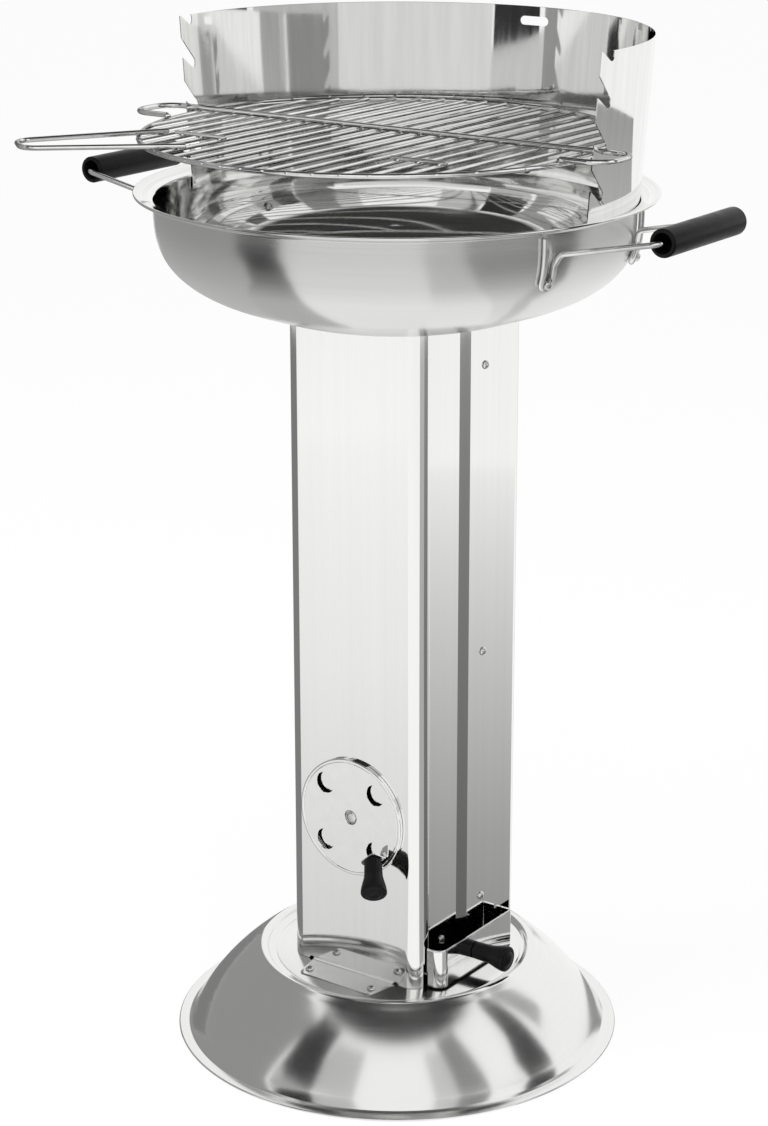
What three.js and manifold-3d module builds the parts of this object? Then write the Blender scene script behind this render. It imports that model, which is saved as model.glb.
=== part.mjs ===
// A stainless charcoal grill on a pedestal: spun base, two-shell sheet column, fire bowl,
// half-round windscreen with notched edges and a wire cooking grid that hangs in the notches.
// Millimetres. X is across, Y runs from the vent side (-Y) to the windscreen side (+Y), Z is up.
import * as THREE from 'three';
import { mergeVertices } from 'three/addons/utils/BufferGeometryUtils.js';
import Module from 'manifold-3d';

const wasm = await Module();
wasm.setup();

const degrees = THREE.MathUtils.degToRad;
const quarterTurn = Math.PI / 2;
const halfTurn = Math.PI;
const fullTurn = 2 * Math.PI;

// Dimensions and counts shared by several pieces
const sheet = 1; // stainless sheet of the bowl, column, drawer, disc and windscreen
const seatGap = 0.3; // clearance where one piece seats on another
const cutOverrun = 2; // how far a cutter runs past the face that it cuts
const weld = 0.5; // how deep two welded wires run into each other
const roundSides = 36; // facets round every large turned piece
const knobSides = 16;
const wireSides = 6;
const facetShare = 1 - Math.cos(halfTurn / roundSides); // how far a facet lies inside its circle

// Column
const columnHalfWidth = 73;
const columnFrontY = -70;
const columnBackY = 96;
const columnCorner = 14.5;
const columnHeight = 604.3;
const recessDepth = 1.8; // the side strips lie this far inside the corner
const recessFrontY = columnFrontY + columnCorner + 1.5;
const recessSlope = 3;
const stepFrontY = -6;
const stepLength = 13;
const flangeLength = 42;
const flangeOverlap = 35; // how far the rear shell runs on under the front shell's flange

// Feet and top flanges of the column
const frontTabHalfWidth = columnHalfWidth * 0.62;
const frontTabLength = 31;
const frontTabTaper = 6;
const frontTabScrewInset = 10;
const frontTabScrewShare = 0.68;
const rearTabHalfWidth = columnHalfWidth * 0.44;
const rearTabLength = 17;
const rearTabTaper = 5;
const rearTabScrewInset = 12;
const rearTabScrewShare = 0.55;
const reliefHoleRadius = 3;
const topFlangeInset = 8.5;

// Base plate
const deckHeight = 73;
const deckMargin = 4.8; // from the rear tab's corner to the deck's edge
const deckRadius =
  Math.hypot(columnBackY + rearTabLength, rearTabHalfWidth - rearTabTaper) + deckMargin;
const ridgeWidth = 8;
const ridgeRise = 5;
const ridgeRound = 6;
const coneRun = 79; // from the ridge's crest to the rim of the base
const baseLipWidth = 11;
const baseEdgeHeight = 2.4;
const baseStepHeight = 5;
const baseSheet = 1.2;
const coneBulge = 5;

// Screws and nuts
const screwHeadRadius = 4;
const screwHeadHeight = 2.6;
const screwShankRadius = 1.9;
const screwHoleRadius = 2.2;
const screwSides = 8;
const tappingLength = 8;
const nutRadius = 4;
const nutHeight = 3;
const seamScrewShares = [0.099, 0.501, 0.944]; // of the column's height

// Fire bowl
const bowlDepth = 111; // from the foot to the top of the wall
const bowlWallRadius = 212.5;
const bowlCurveRise = 9; // the curve's floor lies this far over the foot
const bowlCurveInnerRadius = 20;
const wallPower = 3.1;
const floorPower = 2.2;
const bowlFootRadius = 68;
const bowlFootRound = 5;
const bowlAirHoleRadius = bowlFootRadius * 0.62;
const bowlRimWidth = 17.5;
const bowlRimHeight = 9;
const rimFrom = degrees(-20);
const rimTo = degrees(162);
const bowlScrewX = bowlFootRadius * 0.44;
const bowlScrewY = bowlFootRadius * 0.71;

// Windscreen
const screenHeight = 154;
const screenOverlap = 10; // how deep its foot stands in the bowl
const screenWallGap = 1.3;
const screenFlare = 11.2; // how much wider it is at the top
const screenFrontY = -25.5;
const notchCount = 4;
const topNotchDrop = 8.6; // from the screen's top edge to the bottom of the first notch
const lowNotchRise = 30.5; // from the screen's foot to the bottom of the last notch
const notchPitch = (screenHeight - topNotchDrop - lowNotchRise) / (notchCount - 1);
const notchDepth = 18; // from a tooth's front edge to the back of the notch
const notchRadius = 3.2;
const toothTipRise = 10;
const toothSlantTopRise = notchPitch * 0.72;
const toothSlantBottomRise = 7;
const hangSlotLength = 30;
const hangSlotHeight = 8;
const hangSlotDrop = 13;
const screenScrewRise = 5.5;
const screenScrewAngles = [50, 90, 130].map(degrees);

// Cooking grid
const gridNotch = 2; // counted from the top notch, which is 0
const gridRingGap = 4.6; // from the ring's middle to the windscreen
const gridRingAhead = 9.5; // the ring's centre lies this far in front of the cross rod
const gridRingWire = 2.25;
const gridRodWire = 2.5;
const gridBarWire = 1.8;
const gridBarCount = 20;
const gridBarShare = 0.925; // of the ring's width that the bars take up
const hookOut = 32; // from the windscreen to the outside of a hook
const hookDepth = 52;
const hookBend = 19;
const stiffenerInnerX = 86;
const stiffenerOuterX = 140;
const stiffenerAhead = 119;
const gridHandleAngle = degrees(229.5);
const gridHandleLength = 104;
const gridHandleRootHalf = 37;
const gridHandleTipHalf = 20;
const gridHandleInside = 30;
const gridHandleBend = 16;

// Charcoal grate
const grateRadius = bowlWallRadius * 0.7;
const grateRingWire = 2.5;
const grateBarWire = 2;
const grateBarCount = 11;
const grateBarShare = 0.81; // of the ring's width that the bars take up
const grateCrossBarY = grateRadius * 0.4;

// Bowl handles, placed from the top of the bowl's wall
const handleWire = 2.5;
const handleWallGap = 2 * seatGap; // from the wire to the bowl's wall
const handleStandOff = 70; // from the rim to the middle of the grip
const handleGripRise = 3;
const handleTopDrop = 2;
const handleElbowDrop = 16;
const handleElbowGap = 5;
const handleElbowY = 63;
const handleLeaveDrop = 25;
const handleRunSteps = 3;
const handleBend = 7;
const eyeletDrop = 39;
const eyeletAngle = degrees(19.5);
const eyeletRadius = 5;
const gripHalfLength = 60;
const gripRadius = 12;
const gripBoreRadius = 8.5;
const gripPocketDepth = 16;

// Vent disc
const ventRise = 156.8; // over the deck
const ventEdgeGap = 2.5; // from the disc to where the column's corner starts
const ventRadius = columnHalfWidth - columnCorner - ventEdgeGap;
const ventStandOff = 4.5;
const ventRimGap = 0.4;
const ventRimBand = 3.4;
const ventRimRound = 1.2;
const ventBossRadius = 9;
const ventHoleRadius = ventRadius * 0.18;
const ventHoleCircle = ventRadius * 0.707;
const ventHoleCount = 4;
const ventHoleSides = 16;
const rivetHeadRadius = 5.5;
const rivetHeadHeight = 2;
const rivetShankRadius = 2.4;
const lugAngle = degrees(-47);
const lugWidth = 20;
const lugInset = 5; // from the disc's rim to the lug's foot
const lugLength = 17;
const lugKnobAlong = 9; // from the lug's foot to the knob's axis
const lugTilt = degrees(42); // the knob's lean away from the column

// Knobs, one shape for the vent and the drawer
const knobLength = 38;
const knobRootRadius = 8;
const knobWaistRadius = 8.4;
const knobWaistShare = 0.35;
const knobEndRadius = 12;
const knobCrown = 2.5;
const knobEdgeRound = 2;

// Ash drawer
const drawerFrontInset = 12; // from the column's front face
const drawerBackOverlap = 3; // past the flange's edge
const drawerProud = 24;
const drawerCorner = 18;
const drawerFrontHeight = 40.5;
const drawerFrontLift = 2.2; // the front stands this much higher than the tray's floor
const drawerTrayHeight = 16;
const drawerTrayEndHeight = 6; // the tray's sides fall off to this, to clear the cut-out's edge
const drawerEndGap = 8; // from the tray's end to the far side of the column
const drawerTrayInset = 6;
const frontCutoutTop = 24; // above the deck
const rearCutoutTop = 36;
const drawerKnobY = -5;
const cutoutClearance = 2.5;

// Heights and places that follow from the sizes above
const columnBottomZ = deckHeight + seatGap;
const columnTopZ = columnBottomZ + columnHeight;
const bowlFootZ = columnTopZ + seatGap;
const bowlWallTopZ = bowlFootZ + bowlDepth;
const bowlCurveFloorZ = bowlFootZ + bowlCurveRise;
const screenBottomZ = bowlWallTopZ - screenOverlap;
const screenTopZ = screenBottomZ + screenHeight;
const screenScrewZ = screenBottomZ + screenScrewRise;
const screenBottomRadius = bowlWallRadius - sheet - screenWallGap;
const screenTopRadius = screenBottomRadius + screenFlare;
const flangeBackY = stepFrontY + stepLength + flangeLength;
const rearSideFrontY = flangeBackY - flangeOverlap;
const ventZ = deckHeight + ventRise;
const lugFootRadius = ventRadius - lugInset;
const handleReachX = bowlWallRadius + bowlRimWidth + handleStandOff;
const handleElbowX = Math.sqrt(bowlWallRadius ** 2 - handleElbowY ** 2) + handleElbowGap;
const eyeletZ = bowlWallTopZ - eyeletDrop;
const drawerFrontY = columnFrontY + drawerFrontInset;
const drawerBackY = flangeBackY + drawerBackOverlap;

// Solids from three.js shapes

function closedSolid(geometry, matrix) {
  const bare = geometry.clone();
  bare.deleteAttribute('normal');
  bare.deleteAttribute('uv');
  if (matrix) bare.applyMatrix4(matrix);
  const merged = mergeVertices(bare);
  const corners = merged.index.array;
  const kept = [];
  for (let i = 0; i < corners.length; i += 3) {
    const [a, b, c] = corners.slice(i, i + 3);
    if (a !== b && b !== c && a !== c) kept.push(a, b, c);
  }
  const vertProperties = new Float32Array(merged.attributes.position.array);
  const build = (triangles) =>
    new wasm.Manifold(
      new wasm.Mesh({ numProp: 3, vertProperties, triVerts: new Uint32Array(triangles) }),
    );
  const made = build(kept);
  if (made.volume() > 0) return made;
  const turned = [];
  for (let i = 0; i < kept.length; i += 3) turned.push(kept[i], kept[i + 2], kept[i + 1]);
  return build(turned);
}

function meshOf(solid, name, material) {
  const { numProp, vertProperties, triVerts } = solid.getMesh();
  const count = vertProperties.length / numProp;
  const positions = new Float32Array(3 * count);
  for (let i = 0; i < count; i++) {
    for (let k = 0; k < 3; k++) positions[3 * i + k] = vertProperties[numProp * i + k];
  }
  const geometry = new THREE.BufferGeometry();
  geometry.setAttribute('position', new THREE.BufferAttribute(positions, 3));
  geometry.setIndex(new THREE.BufferAttribute(new Uint32Array(triVerts), 1));
  geometry.computeVertexNormals();
  const mesh = new THREE.Mesh(geometry, material);
  mesh.name = name;
  return mesh;
}

const shift = (x, y, z) => new THREE.Matrix4().makeTranslation(x, y, z);

const turnedUpright = new THREE.Matrix4().makeRotationX(quarterTurn);

// A turned piece from its section, given as [radius, height] points round the section.
function turned(section, sides = roundSides) {
  const points = [...section, section[0]].map(([r, z]) => new THREE.Vector2(r, z));
  return closedSolid(new THREE.LatheGeometry(points, sides), turnedUpright);
}

function cylinder(radius, bottom, top, sides = screwSides) {
  return turned([[0, bottom], [radius, bottom], [radius, top], [0, top]], sides);
}

// A flat outline in X and Y, given thickness along Z.
function plate(outline, bottom, top, holes = []) {
  const shape = new THREE.Shape(outline.map(([x, y]) => new THREE.Vector2(x, y)));
  shape.holes = holes;
  const geometry = new THREE.ExtrudeGeometry(shape, { depth: top - bottom, bevelEnabled: false });
  return closedSolid(geometry, shift(0, 0, bottom));
}

function box(x0, x1, y0, y1, z0, z1) {
  return plate([[x0, y0], [x1, y0], [x1, y1], [x0, y1]], z0, z1);
}

function place(solid, matrix) {
  return solid.transform(matrix.elements);
}

// Points of an arc in the plane, both ends included.
function arc(cx, cy, radius, from, to, steps) {
  return Array.from({ length: steps + 1 }, (_, i) => {
    const angle = from + ((to - from) * i) / steps;
    return [cx + radius * Math.cos(angle), cy + radius * Math.sin(angle)];
  });
}

// An open line moved sideways by a distance, to its right-hand side, with mitred corners.
function offsetLine(points, distance) {
  return points.map(([x, y], i) => {
    const before = points[Math.max(i - 1, 0)];
    const after = points[Math.min(i + 1, points.length - 1)];
    const into = new THREE.Vector2(x - before[0], y - before[1]).normalize();
    const out = new THREE.Vector2(after[0] - x, after[1] - y).normalize();
    const a = into.lengthSq() ? into : out;
    const b = out.lengthSq() ? out : into;
    const along = a.clone().add(b).normalize();
    const reach = distance / Math.max(along.dot(a), 0.3);
    return [x + along.y * reach, y - along.x * reach];
  });
}

// The outline of bent sheet whose outer side is the line that is given.
function sheetOutline(line, thickness) {
  return [...line, ...offsetLine(line, thickness).reverse()];
}

// A path with straight runs and rounded corners, sampled only where it bends.
function bentPath(corners, bend, steps = 4) {
  const points = [corners[0]];
  for (let i = 1; i < corners.length - 1; i++) {
    const corner = corners[i];
    const into = corner.clone().sub(points[points.length - 1]).normalize();
    const out = corners[i + 1].clone().sub(corner).normalize();
    const half = into.angleTo(out) / 2;
    const cut = bend * Math.tan(half);
    const start = corner.clone().addScaledVector(into, -cut);
    const centre = out.clone().sub(into).normalize().multiplyScalar(bend / Math.cos(half)).add(corner);
    const axis = new THREE.Vector3().crossVectors(into, out).normalize();
    for (let k = 0; k <= steps; k++) {
      const turn = (2 * half * k) / steps;
      points.push(start.clone().sub(centre).applyAxisAngle(axis, turn).add(centre));
    }
  }
  points.push(corners[corners.length - 1]);
  return points;
}

// A curve that passes through the given points with one ring at each of them.
class WirePath extends THREE.Curve {
  constructor(points) {
    super();
    this.points = points;
  }
  getPoint(t, target = new THREE.Vector3()) {
    const place = t * (this.points.length - 1);
    const i = Math.min(Math.floor(place + 1e-6), this.points.length - 2);
    return target.lerpVectors(this.points[i], this.points[i + 1], place - i);
  }
  getTangent(t, target = new THREE.Vector3()) {
    const i = Math.round(t * (this.points.length - 1));
    const last = this.points.length - 1;
    const into = this.points[i].clone().sub(this.points[Math.max(i - 1, 0)]).normalize();
    const out = this.points[Math.min(i + 1, last)].clone().sub(this.points[i]).normalize();
    return target.copy(into).add(out).normalize();
  }
  getPointAt(u, target) {
    return this.getPoint(u, target);
  }
  getTangentAt(u, target) {
    return this.getTangent(u, target);
  }
}

function wire(points, radius, sides = wireSides) {
  const section = new THREE.Shape(arc(0, 0, radius, 0, fullTurn, sides).slice(0, -1)
    .map(([x, y]) => new THREE.Vector2(x, y)));
  const path = new WirePath(points);
  const options = { steps: points.length - 1, bevelEnabled: false, extrudePath: path };
  return closedSolid(new THREE.ExtrudeGeometry(section, options));
}

function ring(radius, wireRadius, centre) {
  const geometry = new THREE.TorusGeometry(radius, wireRadius, wireSides, roundSides);
  return closedSolid(geometry, shift(centre.x, centre.y, centre.z));
}

const vec = (x, y, z) => new THREE.Vector3(x, y, z);

// A matrix that stands a piece made along +Z at a place, along a direction.
function standing(at, along) {
  const turn = new THREE.Quaternion().setFromUnitVectors(vec(0, 0, 1), along.clone().normalize());
  return new THREE.Matrix4().compose(at, turn, vec(1, 1, 1));
}

// Materials

const mirror = new THREE.MeshStandardMaterial({ color: 0xd8d8d6, metalness: 1, roughness: 0.08 });
const brushed = new THREE.MeshStandardMaterial({ color: 0xc4c3c0, metalness: 1, roughness: 0.3 });
const wireMetal = new THREE.MeshStandardMaterial({ color: 0xd0d0ce, metalness: 1, roughness: 0.12 });
const blackPlastic = new THREE.MeshStandardMaterial({ color: 0x141315, metalness: 0, roughness: 0.35 });

const part = new THREE.Group();
const add = (solid, name, material) => part.add(meshOf(solid, name, material));

// Screws: a domed head on a seat at height zero, with the shank going down

function screw(length) {
  const head = arc(0, 0, 1, 0, quarterTurn, 2).map(([x, y]) => [
    x * screwHeadRadius,
    seatGap + y * screwHeadHeight,
  ]);
  const section = [[0, -length], [screwShankRadius, -length], [screwShankRadius, seatGap], ...head];
  return turned(section, screwSides);
}

function nut() {
  return turned(
    [[screwHoleRadius, 0], [nutRadius, 0], [nutRadius, nutHeight], [screwHoleRadius, nutHeight]],
    6,
  );
}

const screwHole = (at, along, depth) =>
  place(cylinder(screwHoleRadius, -depth, depth), standing(at, along));

// Base plate

const ridgeRadius = deckRadius + ridgeWidth;
const baseRadius = ridgeRadius + coneRun;
const coneFootRadius = baseRadius - baseLipWidth;
const hemPoints = 3; // points of the surface line that belong to the folded hem

function baseSurface() {
  const coneStart = [coneFootRadius - baseEdgeHeight, baseStepHeight];
  const ridgeHeight = deckHeight + ridgeRise;
  const coneEnd = [ridgeRadius + ridgeRound / 2, ridgeHeight - ridgeRound / 3];
  const cone = Array.from({ length: 6 }, (_, i) => {
    const t = i / 5;
    const swell = 4 * coneBulge * t * (1 - t);
    return [
      coneStart[0] + (coneEnd[0] - coneStart[0]) * t + swell,
      coneStart[1] + (coneEnd[1] - coneStart[1]) * t + swell / 2,
    ];
  });
  const crest = arc(ridgeRadius - ridgeRound / 3, ridgeHeight - ridgeRound, ridgeRound,
    quarterTurn * 0.8, quarterTurn * 1.5, 3);
  return [
    [baseRadius, 0],
    [baseRadius, baseEdgeHeight],
    [coneFootRadius, baseEdgeHeight + baseSheet / 2],
    ...cone,
    ...crest,
    [deckRadius, deckHeight],
    [0, deckHeight],
  ];
}

function basePlate() {
  const surface = baseSurface();
  const under = offsetLine(surface.slice(hemPoints), -baseSheet);
  const hemInside = [under[0][0], 0];
  let base = turned([...surface, ...under.reverse(), hemInside]);
  for (const at of footScrewPlaces) {
    base = base.subtract(screwHole(vec(at.x, at.y, deckHeight), vec(0, 0, 1), ridgeRound));
  }
  return base;
}

// The foot tabs' screws, which run through the tab and the deck
const footScrewY = {
  front: columnFrontY - frontTabLength * frontTabScrewShare,
  rear: columnBackY + rearTabLength * rearTabScrewShare,
};
const frontTabScrewX = frontTabHalfWidth - frontTabScrewInset;
const rearTabScrewX = rearTabHalfWidth - rearTabScrewInset;
const footScrewPlaces = [
  { name: 'foot_screw_front_left', x: -frontTabScrewX, y: footScrewY.front },
  { name: 'foot_screw_front_right', x: frontTabScrewX, y: footScrewY.front },
  { name: 'foot_screw_rear_left', x: -rearTabScrewX, y: footScrewY.rear },
  { name: 'foot_screw_rear_right', x: rearTabScrewX, y: footScrewY.rear },
];

// Column shells

const recessX = columnHalfWidth - recessDepth;
const rearSideX = columnHalfWidth;
const flangeX = rearSideX + sheet + seatGap;
const cornerCentreX = columnHalfWidth - columnCorner;

// The outer line of the front shell's right half, from the middle of its face to the flange's edge.
function frontShellHalf() {
  return [
    ...arc(cornerCentreX, columnFrontY + columnCorner, columnCorner, -quarterTurn, 0, 6),
    [columnHalfWidth, recessFrontY],
    [recessX, recessFrontY + recessSlope],
    [recessX, stepFrontY],
    [flangeX, stepFrontY + stepLength],
    [flangeX, flangeBackY],
  ];
}

function rearShellHalf() {
  return [
    [rearSideX, rearSideFrontY],
    ...arc(cornerCentreX, columnBackY - columnCorner, columnCorner, 0, quarterTurn, 6),
  ];
}

const mirrored = (line) => line.map(([x, y]) => [-x, y]).reverse();

function footTab(faceY, outward, halfWidth, length, taper) {
  const edgeY = faceY + outward * length;
  const insideY = faceY - outward * sheet;
  return plate([[-halfWidth, insideY], [halfWidth, insideY], [halfWidth, faceY],
    [halfWidth - taper, edgeY], [taper - halfWidth, edgeY], [-halfWidth, faceY]],
  columnBottomZ, columnBottomZ + sheet);
}

const topFlangeHalfWidth = cornerCentreX - topFlangeInset;

function topFlange(faceY, innerY) {
  const [y0, y1] = faceY < innerY ? [faceY, innerY] : [innerY, faceY];
  return box(-topFlangeHalfWidth, topFlangeHalfWidth, y0, y1, columnTopZ - sheet, columnTopZ);
}

function finishShell(shell, faceY, tabHalfWidth) {
  const side = Math.sign(faceY);
  for (const end of [-1, 1]) {
    const relief = cylinder(reliefHoleRadius, -columnCorner, columnCorner);
    const at = vec(end * (tabHalfWidth + reliefHoleRadius), faceY, columnBottomZ);
    shell = shell.subtract(place(relief, standing(at, vec(0, 1, 0))));
  }
  for (const place of footScrewPlaces.filter(({ y }) => Math.sign(y) === side)) {
    shell = shell.subtract(screwHole(vec(place.x, place.y, columnBottomZ), vec(0, 0, 1), sheet * 2));
  }
  for (const end of [-1, 1]) {
    const at = vec(end * bowlScrewX, side * bowlScrewY, columnTopZ);
    shell = shell.subtract(screwHole(at, vec(0, 0, 1), sheet * 2));
    for (const z of seamScrewHeights) {
      shell = shell.subtract(screwHole(vec(end * flangeX, seamScrewY, z), vec(1, 0, 0), sheet * 4));
    }
  }
  return shell;
}

const seamScrewY = (stepFrontY + stepLength + flangeBackY) / 2 + sheet * 2;
const seamScrewHeights = seamScrewShares.map((share) => columnBottomZ + share * columnHeight);

// The side opening for the ash drawer, on the right side only.
function drawerCutout(y0, y1, top) {
  const reach = drawerCorner + drawerProud;
  return box(recessX - reach, flangeX + cutOverrun, y0, y1,
    columnBottomZ - cutOverrun, deckHeight + top);
}

function frontShell() {
  const line = [...mirrored(frontShellHalf()), ...frontShellHalf()];
  let shell = plate(sheetOutline(line, -sheet), columnBottomZ, columnTopZ);
  shell = shell.add(footTab(columnFrontY, -1, frontTabHalfWidth, frontTabLength, frontTabTaper));
  shell = shell.add(topFlange(columnFrontY, -bowlAirHoleRadius));
  shell = shell.subtract(drawerCutout(drawerFrontY - cutoutClearance, flangeBackY + cutOverrun,
    frontCutoutTop));
  for (let i = 0; i < ventHoleCount; i++) {
    const angle = (fullTurn * i) / ventHoleCount;
    const at = vec(ventHoleCircle * Math.cos(angle), columnFrontY, ventZ + ventHoleCircle * Math.sin(angle));
    shell = shell.subtract(place(cylinder(ventHoleRadius, -columnCorner, columnCorner, ventHoleSides),
      standing(at, vec(0, 1, 0))));
  }
  const pivot = vec(0, columnFrontY, ventZ);
  shell = shell.subtract(place(cylinder(rivetShankRadius + seatGap, -columnCorner, columnCorner),
    standing(pivot, vec(0, 1, 0))));
  return finishShell(shell, columnFrontY, frontTabHalfWidth);
}

function rearShell() {
  const line = [...rearShellHalf(), ...mirrored(rearShellHalf())];
  let shell = plate(sheetOutline(line, -sheet), columnBottomZ, columnTopZ);
  shell = shell.add(footTab(columnBackY, 1, rearTabHalfWidth, rearTabLength, rearTabTaper));
  shell = shell.add(topFlange(columnBackY, bowlAirHoleRadius));
  shell = shell.subtract(drawerCutout(rearSideFrontY - cutOverrun, columnBackY - columnCorner,
    rearCutoutTop));
  return finishShell(shell, columnBackY, rearTabHalfWidth);
}

// Fire bowl

// Shares of the way down from the wall's top at which its curve is drawn.
const wallShares = [0, 0.17, 0.335, 0.43, 0.56, 0.69, 0.81, 0.91, 0.966];

// The bowl's outer wall as [radius, height] points from its top down.
const bowlWall = wallShares.map((share) => [
  bowlCurveInnerRadius
    + (bowlWallRadius - bowlCurveInnerRadius) * (1 - share ** wallPower) ** (1 / floorPower),
  bowlWallTopZ - (bowlWallTopZ - bowlCurveFloorZ) * share,
]);

// The place on the outer wall at a height, with the direction that points out of it.
function bowlWallAt(z) {
  const i = Math.max(bowlWall.findIndex(([, height]) => height < z), 1);
  const [topR, topZ] = bowlWall[i - 1];
  const [lowR, lowZ] = bowlWall[i];
  const share = (topZ - z) / (topZ - lowZ);
  const fall = new THREE.Vector2(lowR - topR, lowZ - topZ).normalize();
  return { radius: topR + (lowR - topR) * share, outR: -fall.y, outZ: fall.x };
}

// The bowl's inner and upper surface, from the rim's rolled edge to the air hole.
function bowlSurface() {
  const rimHalf = (bowlRimWidth + sheet) / 2;
  const rim = arc(bowlWallRadius + bowlRimWidth - rimHalf, 0, rimHalf, rimFrom, rimTo, 5)
    .map(([r, rise]) => [r, bowlWallTopZ + (rise * bowlRimHeight) / rimHalf]);
  const foot = arc(bowlFootRadius - bowlFootRound, bowlFootZ + bowlFootRound, bowlFootRound,
    0, -quarterTurn, 1);
  return [...rim, ...offsetLine([...bowlWall, ...foot, [bowlAirHoleRadius, bowlFootZ]], sheet)];
}

function handleFrame(side, end) {
  return (x, y, z) => vec(side * x, end * y, z);
}

// A place on the bowl's wall, by angle from the X axis and height, moved outward by a distance.
function onBowl(angle, z, outward) {
  const wall = bowlWallAt(z);
  const r = wall.radius + wall.outR * outward;
  return vec(r * Math.cos(angle), r * Math.sin(angle), z + wall.outZ * outward);
}

function outwardOnBowl(angle, z) {
  return onBowl(angle, z, 1).sub(onBowl(angle, z, 0));
}

const handleCorners = [];
for (const side of [-1, 1]) {
  for (const end of [-1, 1]) handleCorners.push({ side, end, map: handleFrame(side, end) });
}
const sideName = (side) => (side > 0 ? 'right' : 'left');
const endName = (end) => (end > 0 ? 'rear' : 'front');

const remap = (point, map) => map(point.x, point.y, point.z);

function fireBowl() {
  const surface = bowlSurface();
  let bowl = turned([...surface, ...offsetLine(surface, -sheet).reverse()]);
  for (const sx of [-1, 1]) {
    for (const sy of [-1, 1]) {
      bowl = bowl.subtract(screwHole(vec(sx * bowlScrewX, sy * bowlScrewY, bowlFootZ), vec(0, 0, 1),
        bowlFootRound));
    }
  }
  for (const { map } of handleCorners) {
    const at = remap(onBowl(eyeletAngle, eyeletZ, 0), map);
    bowl = bowl.subtract(screwHole(at, remap(outwardOnBowl(eyeletAngle, eyeletZ), map), sheet * 4));
  }
  for (const angle of screenScrewAngles) {
    const along = vec(Math.cos(angle), Math.sin(angle), 0);
    const at = along.clone().multiplyScalar(bowlWallRadius).setZ(screenScrewZ);
    bowl = bowl.subtract(screwHole(at, along, sheet * 4));
  }
  return bowl;
}

// Windscreen

const notchBottomZ = (i) => screenTopZ - topNotchDrop - notchPitch * i;
const screenRadiusAt = (z) =>
  screenBottomRadius + (screenFlare * (z - screenBottomZ)) / screenHeight;

// The front edge seen from the side, as [y, z] points from the top down.
function toothLine() {
  const line = [];
  const pocketY = screenFrontY + notchDepth - notchRadius;
  for (let i = 0; i < notchCount; i++) {
    const bottom = notchBottomZ(i);
    line.push([screenFrontY, bottom + toothSlantTopRise]);
    line.push([pocketY + notchRadius, bottom + toothSlantBottomRise]);
    line.push(...arc(pocketY, bottom + notchRadius, notchRadius, 0, -quarterTurn - 0.6, 5));
    line.push([screenFrontY, bottom + toothTipRise]);
  }
  return line;
}

function windscreen() {
  const outer = [[screenBottomRadius, screenBottomZ], [screenTopRadius, screenTopZ]];
  const inner = outer.map(([r, z]) => [r - sheet, z]);
  let screen = turned([...outer, ...inner.reverse()]);
  const far = -screenTopRadius - cutOverrun;
  const front = [[far, screenTopZ + toothSlantTopRise], ...toothLine(),
    [screenFrontY, screenBottomZ - cutOverrun], [far, screenBottomZ - cutOverrun]];
  const alongX = new THREE.Matrix4().makeBasis(vec(0, 1, 0), vec(0, 0, 1), vec(1, 0, 0));
  const reach = screenTopRadius + cutOverrun;
  screen = screen.subtract(place(plate(front, -reach, reach), alongX));
  const halfSlot = (hangSlotLength - hangSlotHeight) / 2;
  const slot = [
    ...arc(halfSlot, 0, hangSlotHeight / 2, -quarterTurn, quarterTurn, 6),
    ...arc(-halfSlot, 0, hangSlotHeight / 2, quarterTurn, quarterTurn * 3, 6),
  ];
  const alongY = new THREE.Matrix4().makeBasis(vec(-1, 0, 0), vec(0, 0, 1), vec(0, 1, 0));
  alongY.setPosition(0, 0, screenTopZ - hangSlotDrop);
  screen = screen.subtract(place(plate(slot, 0, reach), alongY));
  for (const angle of screenScrewAngles) {
    const along = vec(Math.cos(angle), Math.sin(angle), 0);
    const at = along.clone().multiplyScalar(screenRadiusAt(screenScrewZ)).setZ(screenScrewZ);
    screen = screen.subtract(screwHole(at, along, sheet * 4));
  }
  return screen;
}

// Cooking grid

const rodY = screenFrontY + notchDepth - notchRadius;
const rodZ = notchBottomZ(gridNotch) + gridRodWire + seatGap;
const gridRingRadius = screenRadiusAt(rodZ) - sheet - gridRingGap;
const hookReach = screenRadiusAt(rodZ) + hookOut;
const gridCentreY = rodY - gridRingAhead;
const ringZ = rodZ - gridRodWire - gridRingWire + weld;
const barZ = rodZ - gridRodWire - gridBarWire + weld;

function gridHandlePoint(along, across) {
  const out = gridRingRadius + along;
  const x = out * Math.cos(gridHandleAngle) - across * Math.sin(gridHandleAngle);
  const y = out * Math.sin(gridHandleAngle) + across * Math.cos(gridHandleAngle);
  return vec(x, gridCentreY + y, ringZ + 2 * gridRingWire - weld);
}

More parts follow.
